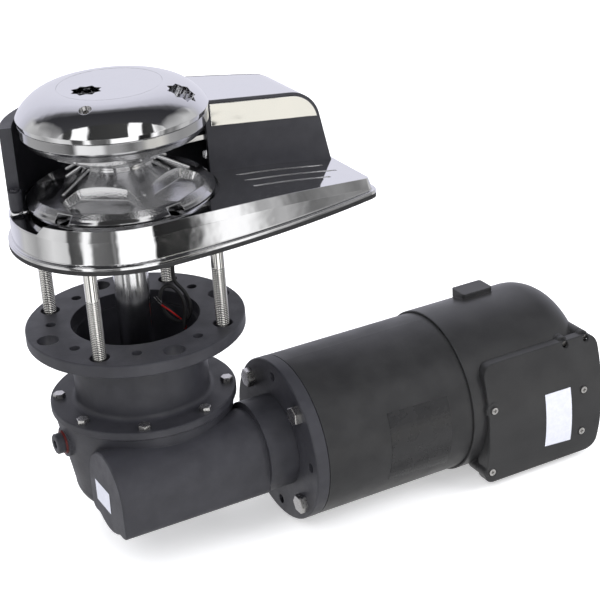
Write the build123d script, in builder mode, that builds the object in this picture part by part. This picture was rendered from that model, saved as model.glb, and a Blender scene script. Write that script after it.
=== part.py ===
"""Vertical anchor windlass: chain gypsy and drum cap above the deck, worm gearbox and motor below."""
import math
import os
from build123d import *

os.makedirs("parts", exist_ok=True)

# Frame: origin on the shaft axis at the deck surface, +Z up, +X along the motor.

# Clearances
run_gap = 0.05
part_gap = 0.3
seam_gap = 0.4
seat_gap = 0.35

# Base casting and gasket
gasket_t = 4.0
end_r = 100.5
end_x = -2.5
side_r = 800.0
base_end_x = 223.0
corner_r = 14.0
lip_t = 3.0
skirt_inset = 3.5
bevel_w = 9.0
bevel_h = 3.5
base_top_z = 37.0
base_crown_r = 1200.0
base_wall = 11.0
base_skin = 6.0
dish_r = 86.5
dish_floor_z = 31.0
hub_r = 33.0
rib_t = 6.0
groove_w = 3.0
groove_depth = 1.2
groove_x0 = 104.0
grooves = {-17.0: 194.0, -34.5: 198.0, -51.5: 182.0}
entry_floor_z = 29.5
entry_y0 = -34.0
entry_y1 = 20.0

# Deck studs
stud_r = 6.0
stud_core_r = 5.1
stud_circle_r = 84.25
stud_count = 4
stud_top_z = 22.0
stud_tip_below_flange = 2.5
stud_boss_r = 12.0

# Chain pipe through the base
pipe_x = 127.0
pipe_y = 42.0
pipe_r = 26.0
pipe_wall = 4.0
gasket_hole_r = 60.0
rib_deg = (10.0, 80.0, 100.0, 170.0, 190.0, 260.0, 280.0, 350.0)

# Guard housing, cover, trim
wall_inner_r = 87.0
wall_end_deg = 162.0
housing_inset = 5.0
housing_skin = 4.0
border_w = 2.0
roof_x = 46.0
roof_z = 105.5
roof_end_x = 197.0
roof_end_z = 88.0
housing_foot_x = 213.0
housing_foot_z = 12.0
roof_round = 32.0
cover_t = 3.0
cover_end_z = 64.0
trim_x = 91.5
trim_z = 76.5
trim_slope = 0.119
trim_border = 2.5
trim_t = 2.4
trim_sink = 1.4
window_deg0 = 2.45
window_deg1 = 60.0
window_top_z = 94.0
foot_r = 91.5
foot_half = 6.0
foot_top_z = 50.0
foot_screw_r = 2.0
foot_screw_len = 11.0

# Chain stripper
stripper_tip_r = 40.5
stripper_end_x = 120.0
stripper_w = 10.0
stripper_t = 4.4
stripper_z = 64.6
stripper_tab_x = 94.0
stripper_tab_h = 18.0
stripper_screw_z = 76.0
stripper_screw_r = 2.5
stripper_screw_bite = 2.5
stripper_screw_x = (100.0, 112.0)

# Main shaft
shaft_r = 16.0
shaft_thread_r = 13.0
shaft_tail_r = 12.5
shaft_top_z = 122.0
shaft_thread_z = 104.6
collar_r = 20.0
collar_top_z = 32.0
collar_t = 5.0
bush_r = 22.0
bush_low_z = 8.0
bush_top_z = 22.0
seal_top_z = 26.7
key_w = 6.0
key_depth = 3.0
key_stand = 2.5
tail_z = -234.0
shaft_low_z = -247.5
circlip_t = 1.5
circlip_depth = 1.5
circlip_top_z = -195.2
circlip_low_z = -231.3
cone_key_z0 = 34.0
cone_key_z1 = 100.0
cone_low_z = 34.0
cone_tip_z = 56.0
upper_cone_z = 102.0
upper_cone_top_z = 105.7

# Chain gypsy
groove_mid_z = 68.0
gypsy_bottom_z = 33.0
gypsy_rim_r = 83.4
rim_edge_z = 38.0
crest_r = 66.0
crest_z = 50.0
shoulder_r = 76.0
shoulder_z = 45.2
neck_r = 33.0
neck_z = 66.0
gypsy_top_z = 108.2
upper_rim_r = 82.4
upper_rim_wall = 6.4
upper_web_z = 103.0
hub_half = 11.0
clutch_r = 50.0
clutch_small_r = 25.0
pocket_count = 5
pocket_deg = -128.5
pocket_r = 61.5
pocket_half = 39.0
pocket_flat = 23.0
pocket_width = 31.0
pocket_depth = 10.0
pocket_draft = 30.0
pocket_corner = 8.0
slot_w = 15.0
slot_r = 70.0
slot_top_z = 43.0
slot_offset_deg = -21.5
rope_rib_w = 2.6
rope_rib_h = 1.2
rope_rib_short_r = 47.5
rope_rib_long_r = 62.0
rope_rib_step_deg = 12.0
gypsy_screw_r = 2.5
gypsy_screw_circle_r = 28.0

# Drum cap
cap_bottom_z = 108.6
cap_edge_z = 113.0
dome_r = 70.0
disc_r = 45.6
disc_z = 134.8
disc_t = 6.0
cap_room_r = 76.0
cap_room_side_z = 113.0
cap_room_shoulder_r = 66.0
cap_room_shoulder_z = 123.0
cap_room_top_r = 48.0
cap_room_top_z = 127.0
cap_core_r = 43.0
cap_core_z = 112.0
cap_hub_r = 22.0
cap_hub_z = 106.0
cap_bore_z = 124.5
socket_size = 19.8
socket_depth = 18.0
disc_socket_r = 24.0
disc_socket_deg = -167.0
side_socket_r = 66.0
side_socket_deg = -45.0
side_socket_z = 129.9
side_socket_tilt = 28.0
side_socket_depth = 16.0
pin_socket_r = 61.7
pin_socket_deg = -131.7
pin_socket_z = 131.8
pin_socket_tilt = 21.0
pin_socket_size = 7.8
pin_socket_depth = 9.0
boss_wall = 3.5

# Gearbox cover: deck flange, neck and cover plate
flange_z = -85.25
flange_r = 100.0
flange_t = 12.0
flange_bore_r = 58.9
stud_hole_r = 9.0
big_hole_r = 10.0
big_hole_circle_r = 84.5
small_hole_r = 4.7
small_hole_circle_r = 76.5
neck_out_r = 62.0
neck_in_r = 56.0
neck_floor_z = -143.0
upper_bearing_top = -151.0
plate_r = 86.0
plate_z = -159.0
plate_t = 8.0
neck_fillet = 5.0
bearing_r = 31.0
bearing_t = 14.0
seal_r = 24.0
seal_t = 7.0
cover_bolt_r = 3.0
cover_bolt_head = 10.0
cover_bolt_head_t = 4.0
cover_bolt_len = 20.0
cover_bolt_circle_r = 77.5
cover_bolt_count = 8
cover_bolt_deg = 22.0

# Gear case
case_top_r = 84.0
case_low_r = 72.0
case_low_z = -240.0
case_bottom_z = -256.0
case_round = 15.0
wheel_room_r = 60.0
wheel_room_floor_z = -234.0
tail_bearing_r = 26.0
tail_bearing_t = 14.0
worm_y = -67.2
worm_z = -214.0
tunnel_r = 38.5
tunnel_x0 = -72.0
tunnel_foot = 32.0
hub_x = 72.0
hub_out_r = 43.8
worm_bearing_r = 26.0
worm_bearing_t = 15.0
worm_bearing_x0 = -66.0
worm_bearing_x1 = 66.0
plug_z = -189.0
plug_boss_r = 14.0
plug_boss_x = -82.6
plug_r = 8.0
plug_head_r = 9.5
plug_head_t = 7.0
plug_washer_r = 11.0
plug_washer_t = 1.6

# Worm pair
wheel_teeth = 35
gear_module = 3.0
wheel_w = 24.0
wheel_addendum = 2.4
wheel_dedendum = 3.4
worm_addendum = 2.4
worm_dedendum = 3.4
thread_angle = 20.0
space_angle = 27.0
worm_thread_thin = 0.5
worm_len = 58.0
worm_shaft_r = 10.0
wheel_hub_r = 26.0
wheel_hub_t = 34.0
wheel_rim_in_r = 42.0
wheel_web_t = 10.0

# Motor
flange_x = 100.65
adaptor_r = 78.1
adaptor_t = 13.05
adaptor_bore_r = 26.0
motor_bolt_r = 5.0
motor_bolt_head = 16.0
motor_bolt_head_t = 6.5
motor_bolt_len = 25.0
motor_bolt_circle_r = 65.0
spare_hole_r = 4.5
inner_screw_r = 3.0
inner_screw_circle_r = 35.0
inner_screw_len = 16.0
inner_screw_head_r = 5.5
inner_screw_head_t = 6.5
motor_bore_r = 14.0
shield_hub_t = 6.0
brush_cage_x = 291.0
brush_cage_r = 34.0
brush_cage_t = 11.0
brush_x = 293.0
core_slot_w = 7.0
core_slot_depth = 16.0
winding_fill = 13.0
winding_in_r = 30.0
motor_shaft_x = 95.0
motor_shaft_end_x = 334.0
coupling_x0 = 90.0
coupling_x1 = 112.0
coupling_r = 18.0
box_back_y = -67.0
lid_x = 282.0
lid_top_z = -163.0
lid_wall = 3.0
pillar_r = 4.5
pillar_back_y = -95.0
box_open_x = 336.0
terminal_deg = (200.0, 225.0, 250.0)
terminal_circle_r = 56.0
terminal_len = 18.0
worm_end_x = 94.0
coupling_bore = 10.05
tube_r = 77.9
tube_wall = 6.0
tube_end_x = 330.0
shield_t = 11.0
motor_bearing_r = 20.0
motor_bearing_t = 12.0
magnet_t = 10.0
magnet_x0 = 150.0
magnet_x1 = 272.0
magnet_deg = 68.0
core_r = 60.5
core_x0 = 156.0
core_x1 = 266.0
core_slots = 16
winding_r = 52.0
winding_t = 16.0
commutator_r = 24.0
commutator_x0 = 288.0
commutator_x1 = 312.0
brush_w = 14.0
brush_t = 9.0
brush_len = 22.0

# Motor rear cover and terminal box
cover_x = 268.0
cover_end_x = 413.0
cover_r = 80.0
cover_skin = 3.0
cover_round = 36.0
box_x = 288.0
box_bottom_z = -290.0
box_top_z = -170.0
box_seam_y = -131.0
box_corner_r = 12.0
lid_edge_y = -139.0
lid_crown = 13.0
lid_over = 3.0
ear_r = 8.0
ear_z = (-206.0, -275.0)
boss_x = (377.0, 401.0)
boss_z = -166.5
boss_r = 6.0
boss_len = 42.0
lid_screw_r = 1.8
boss_lid_t = 5.0
lid_screw_bite = 9.0
lid_screw_head_r = 3.4
lid_screw_head_t = 2.4
lid_face_screws = ((391.0, -214.5), (391.0, -261.0))
tab_x = 335.0
tab_y = -46.0
tab_top_z = -130.0
tab_len = 34.0
tab_wid = 22.0
gland_x = 390.0
gland_y = -112.0
gland_r = 9.0
gland_len = 7.0
terminal_r = 4.0

# Chain sensor and its cable
sensor_x = 45.0
sensor_y = 3.0
sensor_r = 6.0
sensor_top_z = 27.0
sensor_low_z = 10.0
cable_r = 1.8
coil_x = 37.0
coil_y = -5.0
coil_z = -85.0
coil_half_w = 17.0
coil_half_h = 24.0
coil_band = 6.0
coil_t = 8.0
wire_r = 0.75
cable_route = ((45.0, 3.0, 9.5), (45.0, 2.0, -12.0), (42.0, -2.0, -34.0), (38.0, -5.0, -60.8))
cable_bends = (30.0, 30.0)
wire_routes = (
    ((31.0, -10.1, -104.0), (25.0, -12.5, -99.0), (21.0, -13.0, -88.0)),
    ((33.5, -10.1, -104.5), (29.0, -13.5, -99.0), (28.0, -15.0, -90.0)))


def save(builder, label):
    """Label a finished piece and write it as its own file."""
    builder.part.label = label
    export_step(builder.part, f"parts/{label}.step")


def side_half_width(x, inset):
    """Half width of the base outline at a distance along it."""
    return math.sqrt((side_r - inset) ** 2 - (x - end_x) ** 2) - (side_r - end_r)


def deck_outline(inset, height):
    """Teardrop outline of the base: a round end and two long arcs to a squared end."""
    r = end_r - inset
    x = base_end_x - inset
    y = side_half_width(x, inset)
    mid_x = (x + end_x) / 2
    mid_y = side_half_width(mid_x, inset)
    with BuildSketch(Plane.XY.offset(height)) as outline:
        with BuildLine():
            ThreePointArc((end_x, -r), (mid_x, -mid_y), (x, -y))
            Line((x, -y), (x, y))
            ThreePointArc((x, y), (mid_x, mid_y), (end_x, r))
            ThreePointArc((end_x, r), (end_x - r, 0), (end_x, -r))
        make_face()
        fillet(outline.vertices().group_by(Axis.X)[-1], max(corner_r - inset, 3.0))
    return outline.sketch


def crown_z(x, drop=0.0):
    """Height of the base's crowned top: flat at the round end, falling in one arc to the other."""
    if x <= 0:
        return base_top_z - drop
    return base_top_z - drop - base_crown_r + math.sqrt(base_crown_r ** 2 - x ** 2)


def crown_profile(drop, x0=-140.0, x1=240.0, floor=0.0):
    """Side view of everything under the crowned top."""
    with BuildSketch(Plane.XZ) as profile:
        with BuildLine():
            Polyline((0, crown_z(0, drop)), (x0, crown_z(0, drop)), (x0, floor), (x1, floor),
                     (x1, crown_z(x1, drop)))
            ThreePointArc((x1, crown_z(x1, drop)), (x1 / 2, crown_z(x1 / 2, drop)), (0, crown_z(0, drop)))
        make_face()
    return profile.sketch


def roof_profile(drop):
    """Side view of the housing: a level wall top, a falling roof and a rounded end."""
    with BuildSketch(Plane.XZ) as profile:
        with BuildLine():
            Polyline(
                (-140, 0), (-140, roof_z - drop), (roof_x, roof_z - drop),
                (roof_end_x - drop, roof_end_z - drop),
                (housing_foot_x - drop, housing_foot_z), (housing_foot_x - drop, 0), close=True)
        make_face()
        corner = profile.vertices().sort_by_distance((roof_end_x - drop, roof_end_z - drop, 0))[0]
        fillet(corner, roof_round - drop)
    return profile.sketch


def polar(radius, deg):
    """Point on a circle about the shaft axis."""
    return radius * math.cos(math.radians(deg)), radius * math.sin(math.radians(deg))


def housing_block(inset, roof_drop, front_y, inner_r, left_x, low_z):
    """Part of the deck outline behind the front panel and outside the gypsy, under the roof line."""
    with BuildPart() as block:
        extrude(deck_outline(inset, low_z), amount=140)
        extrude(roof_profile(roof_drop), amount=130, both=True, mode=Mode.INTERSECT)
        with BuildSketch(Plane.XY):
            Circle(inner_r)
        extrude(amount=200, mode=Mode.SUBTRACT)
        with BuildSketch(Plane.XY):
            with BuildLine():
                Polyline((left_x, front_y), (300, front_y), (300, 130), (left_x, 130), close=True)
            make_face()
        extrude(amount=200, mode=Mode.INTERSECT)
    return block.part


# Base: hollow crowned casting with a round dish for the gypsy
with BuildPart() as base_room:
    extrude(deck_outline(skirt_inset + base_wall, gasket_t), amount=base_top_z)
    extrude(crown_profile(base_skin), amount=130, both=True, mode=Mode.INTERSECT)
    with BuildSketch(Plane.XY.offset(dish_floor_z - base_skin)):
        Circle(dish_r + base_skin)
    extrude(amount=base_top_z, mode=Mode.SUBTRACT)
    with BuildSketch(Plane.XY):
        Circle(hub_r)
        with PolarLocations(stud_circle_r, stud_count, start_angle=45):
            Circle(stud_boss_r)
        with Locations((pipe_x, pipe_y)):
            Circle(pipe_r + pipe_wall)
        with Locations((sensor_x, sensor_y)):
            Circle(sensor_r + 4)
        for deg in rib_deg:
            with Locations(Location((0, 0, 0), deg)):
                with Locations((hub_r + 100, 0)):
                    Rectangle(220, rib_t)
    extrude(amount=base_top_z, mode=Mode.SUBTRACT)

with BuildPart() as base:
    extrude(deck_outline(skirt_inset, gasket_t), amount=base_top_z)
    extrude(crown_profile(0), amount=130, both=True, mode=Mode.INTERSECT)
    crown_faces = base.faces().filter_by(lambda f: f.normal_at().Z > 0.8)
    flat_top = crown_faces.sort_by(Axis.X)[0]
    round_edge = flat_top.edges().sort_by(Axis.X)[0]
    chamfer(round_edge, bevel_h, bevel_w, reference=flat_top)
    extrude(deck_outline(0, gasket_t), amount=lip_t)
    lip_faces = base.faces().filter_by(Plane.XY).filter_by(lambda f: abs(f.center().Z - gasket_t - lip_t) < 0.1)
    fillet(lip_faces.edges(), 1.2)
    add(base_room.part, mode=Mode.SUBTRACT)
    with BuildSketch(Plane.XY.offset(dish_floor_z)):
        Circle(dish_r)
    extrude(amount=base_top_z, mode=Mode.SUBTRACT)
    with BuildSketch(Plane.XY):
        Circle(bush_r)
        with Locations((pipe_x, pipe_y)):
            Circle(pipe_r)
        with Locations((sensor_x, sensor_y)):
            Circle(sensor_r)
    extrude(amount=base_top_z + 5, mode=Mode.SUBTRACT)
    with BuildSketch(Plane.XY):
        with PolarLocations(stud_circle_r, stud_count, start_angle=45):
            Circle(stud_core_r)
    extrude(amount=stud_top_z, mode=Mode.SUBTRACT)
    # low gap in the rim where the chain comes in
    with BuildSketch(Plane.YZ.offset(-130)):
        with BuildLine():
            Polyline((entry_y0 - 10, 45), (entry_y0, entry_floor_z), (entry_y1, entry_floor_z),
                     (entry_y1 + 10, 45), close=True)
        make_face()
    extrude(amount=60, mode=Mode.SUBTRACT)
    # grooves in the front deck
    for groove_y, groove_x1 in grooves.items():
        groove_mid_x = (groove_x0 + groove_x1) / 2
        groove_len = groove_x1 - groove_x0
        slope = math.degrees(math.asin(groove_mid_x / base_crown_r))
        with BuildSketch(Plane(origin=(groove_mid_x, groove_y, crown_z(groove_mid_x) - groove_depth),
                               x_dir=(math.cos(math.radians(slope)), 0, -math.sin(math.radians(slope))),
                               z_dir=(math.sin(math.radians(slope)), 0, math.cos(math.radians(slope))))):
            SlotOverall(groove_len, groove_w)
        extrude(amount=8, mode=Mode.SUBTRACT)
save(base, "base")

with BuildPart() as deck_gasket:
    extrude(deck_outline(0, 0), amount=gasket_t)
    with BuildSketch(Plane.XY):
        Circle(gasket_hole_r)
        with PolarLocations(stud_circle_r, stud_count, start_angle=45):
            Circle(stud_r + 0.5)
        with Locations((pipe_x, pipe_y)):
            Circle(pipe_r)
    extrude(amount=gasket_t, mode=Mode.SUBTRACT)
save(deck_gasket, "deck_gasket")

# Studs: screwed into the base above the deck, full diameter below it
with BuildPart() as deck_studs:
    with BuildSketch(Plane.XY):
        with PolarLocations(stud_circle_r, stud_count, start_angle=45):
            Circle(stud_r)
    extrude(amount=flange_z - flange_t - stud_tip_below_flange)
    chamfer(deck_studs.faces().sort_by(Axis.Z)[:stud_count].edges(), 1.2)
    with BuildSketch(Plane.XY):
        with PolarLocations(stud_circle_r, stud_count, start_angle=45):
            Circle(stud_core_r)
    extrude(amount=stud_top_z)
save(deck_studs, "deck_studs")

with BuildPart() as base_bush:
    with BuildSketch(Plane.XY.offset(bush_low_z)):
        Circle(bush_r)
        Circle(shaft_r + run_gap, mode=Mode.SUBTRACT)
    extrude(amount=bush_top_z - bush_low_z)
save(base_bush, "base_bush")

with BuildPart() as base_seal:
    with BuildSketch(Plane.XY.offset(bush_top_z)):
        Circle(bush_r)
        Circle(shaft_r + run_gap, mode=Mode.SUBTRACT)
    extrude(amount=seal_top_z - bush_top_z)
save(base_seal, "base_seal")

# Polished cover plate let into the housing's roof
with BuildPart() as housing_cover:
    add(housing_block(housing_inset + border_w, 0, border_w, wall_inner_r + border_w, roof_x, cover_end_z))
    add(housing_block(housing_inset - 1, cover_t, -1, wall_inner_r - 1, roof_x - 1, 0), mode=Mode.SUBTRACT)
save(housing_cover, "housing_cover")

# Chrome trim band on the front panel
with BuildPart() as side_trim:
    extrude(roof_profile(trim_border), amount=130, both=True)
    with BuildSketch(Plane.XZ):
        with BuildLine():
            Polyline((trim_x, trim_z), (trim_x + 200, trim_z - 200 * trim_slope), (trim_x + 200, 200),
                     (trim_x, 200), close=True)
        make_face()
    extrude(amount=130, both=True, mode=Mode.INTERSECT)
    with Locations((0, trim_sink - trim_t / 2, 0)):
        Box(600, trim_t, 600, mode=Mode.INTERSECT)
    trim_face = side_trim.faces().sort_by(Axis.Y)[0]
    fillet(trim_face.edges(), 0.7)
save(side_trim, "side_trim")

# Guard housing: curved wall round the back of the gypsy and the hollow block beside it
with BuildPart() as housing_room:
    add(housing_block(housing_inset + housing_skin, cover_t + housing_skin, housing_skin,
                      wall_inner_r + housing_skin, roof_x + 4, 0))
    with BuildSketch(Plane.XY):
        with BuildLine():
            Polyline((0, 0), (200 * math.cos(math.radians(window_deg0)),
                              200 * math.sin(math.radians(window_deg0))),
                     (200 * math.cos(math.radians(window_deg1)),
                      200 * math.sin(math.radians(window_deg1))), close=True)
        make_face()
        Circle(wall_inner_r + housing_skin + 1, mode=Mode.INTERSECT)
    extrude(amount=window_top_z)

with BuildPart() as housing:
    extrude(deck_outline(housing_inset, 0), amount=140)
    extrude(roof_profile(0), amount=130, both=True, mode=Mode.INTERSECT)
    with BuildSketch(Plane.XY):
        Circle(wall_inner_r)
    extrude(amount=200, mode=Mode.SUBTRACT)
    with BuildSketch(Plane.XY):
        with BuildLine():
            Polyline((0, 0), (300, 0), (300, 130),
                     (-130 / math.tan(math.radians(180 - wall_end_deg)), 130), close=True)
        make_face()
    extrude(amount=200, mode=Mode.INTERSECT)
    with BuildSketch(Plane.XY):
        with PolarLocations(foot_r, 1, start_angle=wall_end_deg + 3):
            Circle(foot_half)
    extrude(amount=foot_top_z)
    extrude(crown_profile(bevel_h), amount=130, both=True, mode=Mode.SUBTRACT)
    with Locations((0, 0, seat_gap)):
        add(base.part, mode=Mode.SUBTRACT)
    add(housing_cover.part, mode=Mode.SUBTRACT)
    add(side_trim.part, mode=Mode.SUBTRACT)
    add(housing_room.part, mode=Mode.SUBTRACT)
    with BuildSketch(Plane.XY.offset(foot_top_z)):
        with PolarLocations(foot_r, 1, start_angle=wall_end_deg + 3):
            Circle(foot_screw_r)
    extrude(amount=-foot_screw_len, mode=Mode.SUBTRACT)
    with BuildSketch(Plane.XZ.offset(-housing_skin)):
        for x in stripper_screw_x:
            with Locations((x, stripper_screw_z)):
                Circle(stripper_screw_r)
    extrude(amount=stripper_screw_bite, mode=Mode.SUBTRACT)
save(housing, "housing")

# Chain stripper: flat finger reaching into the gypsy's groove, bent up against the front wall
with BuildPart() as chain_stripper:
    with BuildSketch(Plane.XY.offset(stripper_z)):
        with BuildLine():
            Polyline((stripper_tip_r, housing_skin + 1), (stripper_tip_r + 6, housing_skin),
                     (stripper_end_x, housing_skin),
                     (stripper_end_x, housing_skin + stripper_w),
                     (stripper_tip_r, housing_skin + stripper_w), close=True)
        make_face()
    extrude(amount=stripper_t)
    with Locations(((stripper_tab_x + stripper_end_x) / 2, housing_skin + 1.5,
                    stripper_z + stripper_tab_h / 2)):
        Box(stripper_end_x - stripper_tab_x, 3, stripper_tab_h)
    for x in stripper_screw_x:
        with BuildSketch(Plane.XZ.offset(-housing_skin)):
            with Locations((x, stripper_screw_z)):
                Circle(stripper_screw_r)
        extrude(amount=-3, mode=Mode.SUBTRACT)
save(chain_stripper, "chain_stripper")

with BuildPart() as stripper_screws:
    for x in stripper_screw_x:
        with BuildSketch(Plane.XZ.offset(-housing_skin - 3)):
            with Locations((x, stripper_screw_z)):
                Circle(stripper_screw_r + 1.8)
                RegularPolygon(2, 6, major_radius=False, mode=Mode.SUBTRACT)
        extrude(amount=-3)
        with BuildSketch(Plane.XZ.offset(-housing_skin - 3)):
            with Locations((x, stripper_screw_z)):
                Circle(stripper_screw_r)
        extrude(amount=stripper_screw_bite + 3)
save(stripper_screws, "stripper_screws")

with BuildPart() as housing_screws:
    with BuildSketch(Plane.XY.offset(foot_top_z)):
        with PolarLocations(foot_r, 1, start_angle=wall_end_deg + 3):
            Circle(foot_screw_r + 1.6)
            RegularPolygon(1.6, 6, major_radius=False, mode=Mode.SUBTRACT)
    extrude(amount=2.2)
    with BuildSketch(Plane.XY.offset(foot_top_z)):
        with PolarLocations(foot_r, 1, start_angle=wall_end_deg + 3):
            Circle(foot_screw_r)
    extrude(amount=-foot_screw_len)
save(housing_screws, "housing_screws")

# Chain sensor under the dish, with its cable and the tied coil that hangs below the base
with BuildPart() as chain_sensor:
    with BuildSketch(Plane.XY.offset(sensor_low_z)):
        with Locations((sensor_x, sensor_y)):
            Circle(sensor_r)
    extrude(amount=sensor_top_z - sensor_low_z)
    with BuildSketch(Plane.XY.offset(sensor_low_z)):
        with Locations((sensor_x, sensor_y)):
            Circle(cable_r + 1.6)
            Circle(cable_r, mode=Mode.SUBTRACT)
    extrude(amount=-6)
save(chain_sensor, "chain_sensor")


def tube_along(points, radii, r):
    """Round tube along straight runs joined by arcs."""
    with BuildPart() as tube:
        with BuildLine() as path:
            FilletPolyline(*points, radius=radii)
        with BuildSketch(Plane(origin=path.line @ 0, z_dir=path.line % 0)):
            Circle(r)
        sweep()
    bends = [e.radius for e in path.edges().filter_by(GeomType.CIRCLE)]
    length = sum(e.length for e in path.edges())
    print(f"tube of radius {r}: length {length:.1f}, bends {[round(bend, 1) for bend in bends]}")
    return tube.part


with BuildPart() as sensor_cable:
    add(tube_along(cable_route, cable_bends, cable_r))
save(sensor_cable, "sensor_cable")

with BuildPart() as sensor_loop:
    with BuildSketch(Plane.XZ.offset(-coil_y + coil_t / 2)):
        with Locations((coil_x, coil_z)):
            Ellipse(coil_half_w, coil_half_h)
            Ellipse(coil_half_w - coil_band, coil_half_h - coil_band, mode=Mode.SUBTRACT)
    extrude(amount=-coil_t)
save(sensor_loop, "sensor_loop")

with BuildPart() as sensor_wires:
    for points in wire_routes:
        add(tube_along(points, (6.0,), wire_r))
save(sensor_wires, "sensor_wires")


def ring_about_z(points):
    """Solid turned about the shaft axis from (radius, height) points."""
    with BuildPart() as solid:
        with BuildSketch(Plane.XZ):
            with BuildLine():
                Polyline(*points, close=True)
            make_face()
        revolve(axis=Axis.Z)
    return solid.part


def radial_plane(r, deg, z, tilt):
    """Plane on a cone about the shaft: normal leans outward by the tilt, X runs along the rim."""
    a = math.radians(deg)
    t = math.radians(tilt)
    return Plane(origin=(r * math.cos(a), r * math.sin(a), z), x_dir=(-math.sin(a), math.cos(a), 0),
                 z_dir=(math.sin(t) * math.cos(a), math.sin(t) * math.sin(a), math.cos(t)))


# Main shaft: keyed shaft with a collar, thread for the cap, and a tail for the lower bearing
with BuildPart() as main_shaft:
    add(ring_about_z([
        (0, shaft_top_z), (shaft_thread_r - 1, shaft_top_z), (shaft_thread_r, shaft_top_z - 1),
        (shaft_thread_r, shaft_thread_z), (shaft_r, shaft_thread_z), (shaft_r, collar_top_z),
        (collar_r, collar_top_z), (collar_r, collar_top_z - collar_t), (shaft_r, collar_top_z - collar_t),
        (shaft_r, tail_z), (shaft_tail_r, tail_z), (shaft_tail_r, shaft_low_z), (0, shaft_low_z)]))
    with Locations((shaft_r, 0, worm_z)):
        Box(2 * key_depth, key_w, wheel_hub_t - 4, mode=Mode.SUBTRACT)
    with Locations((shaft_r, 0, (cone_key_z0 + cone_key_z1) / 2)):
        Box(2 * key_depth, key_w, cone_key_z1 - cone_key_z0, mode=Mode.SUBTRACT)
    for ring_z in (circlip_top_z, circlip_low_z):
        add(ring_about_z([
            (shaft_r + 1, ring_z), (shaft_r - circlip_depth, ring_z),
            (shaft_r - circlip_depth, ring_z - circlip_t),
            (shaft_r + 1, ring_z - circlip_t)]), mode=Mode.SUBTRACT)
save(main_shaft, "main_shaft")

with BuildPart() as shaft_circlips:
    for ring_z in (circlip_top_z, circlip_low_z):
        with BuildSketch(Plane.XY.offset(ring_z - circlip_t)):
            Circle(shaft_r + circlip_depth)
            Circle(shaft_r - circlip_depth, mode=Mode.SUBTRACT)
            with Locations((-shaft_r, 0)):
                Rectangle(12, 9, mode=Mode.SUBTRACT)
        extrude(amount=circlip_t)
save(shaft_circlips, "shaft_circlips")

# Clutch cones below and above the gypsy
with BuildPart() as lower_clutch_cone:
    add(ring_about_z([
        (shaft_r, collar_top_z), (clutch_r - 4, collar_top_z), (clutch_r, cone_low_z),
        (clutch_r, cone_low_z + 1),
        (clutch_small_r, cone_tip_z), (shaft_r, cone_tip_z)]))
    with Locations((shaft_r, 0, (cone_key_z0 + cone_key_z1) / 2)):
        Box(2 * key_stand, key_w, 80, mode=Mode.SUBTRACT)
save(lower_clutch_cone, "lower_clutch_cone")

with BuildPart() as upper_clutch_cone:
    add(ring_about_z([
        (shaft_r + run_gap, 2 * groove_mid_z - cone_tip_z), (clutch_small_r, 2 * groove_mid_z - cone_tip_z),
        (clutch_r, upper_cone_z), (clutch_r, upper_cone_top_z), (shaft_r + run_gap, upper_cone_top_z)]))
    with Locations((shaft_r, 0, (cone_key_z0 + cone_key_z1) / 2)):
        Box(2 * (key_stand + run_gap), key_w + 2 * run_gap, 80, mode=Mode.SUBTRACT)
save(upper_clutch_cone, "upper_clutch_cone")

with BuildPart() as cone_key:
    with Locations((shaft_r + (key_stand - key_depth) / 2, 0, (cone_key_z0 + cone_key_z1) / 2)):
        Box(key_stand + key_depth, key_w, cone_key_z1 - cone_key_z0)
save(cone_key, "cone_key")

# Gypsy: two bowls back to back with link pockets and ribs
cone_tilt = math.degrees(math.atan((neck_z - crest_z) / (crest_r - neck_r)))
socket_shift = seam_gap / math.cos(math.atan((clutch_r - clutch_small_r) / (cone_tip_z - cone_low_z - 1)))
socket_slope = (clutch_r - clutch_small_r) / (cone_tip_z - cone_low_z - 1)
socket_mouth_r = clutch_r + socket_shift + (cone_low_z + 1 - gypsy_bottom_z) * socket_slope
socket_tip_r = clutch_small_r + socket_shift
hub_low_z = groove_mid_z - hub_half
gypsy_bore_r = shaft_r + key_stand + 0.6
pocket_lift = 0.6


def bowl_outline(flip):
    """Half of the gypsy in section; flip mirrors a height about the middle of the groove."""
    return [
        (gypsy_bore_r, flip(hub_low_z)), (gypsy_bore_r, groove_mid_z), (neck_r, groove_mid_z),
        (neck_r, flip(neck_z)),
        (crest_r, flip(crest_z)), (shoulder_r, flip(shoulder_z))]


def pocket_cutter(flip, lean):
    """Five tapered link pockets laid on the bowl."""
    with BuildPart() as cutter:
        face_z = flip(neck_z - (pocket_r - neck_r) * math.tan(math.radians(cone_tilt)))
        for i in range(pocket_count):
            seat = radial_plane(pocket_r, pocket_deg + i * 360 / pocket_count, face_z, lean)
            if lean < 0:
                seat = radial_plane(pocket_r, pocket_deg + i * 360 / pocket_count, face_z, 180 + lean)
            with BuildSketch(seat.offset(pocket_lift)) as pocket:
                with BuildLine():
                    Polyline((-pocket_half, 0), (-pocket_flat, -pocket_width / 2),
                             (pocket_flat, -pocket_width / 2),
                             (pocket_half, 0), (pocket_flat, pocket_width / 2),
                             (-pocket_flat, pocket_width / 2), close=True)
                make_face()
                fillet(pocket.vertices(), pocket_corner)
            extrude(amount=-pocket_depth - pocket_lift, taper=pocket_draft)
    return cutter.part


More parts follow.
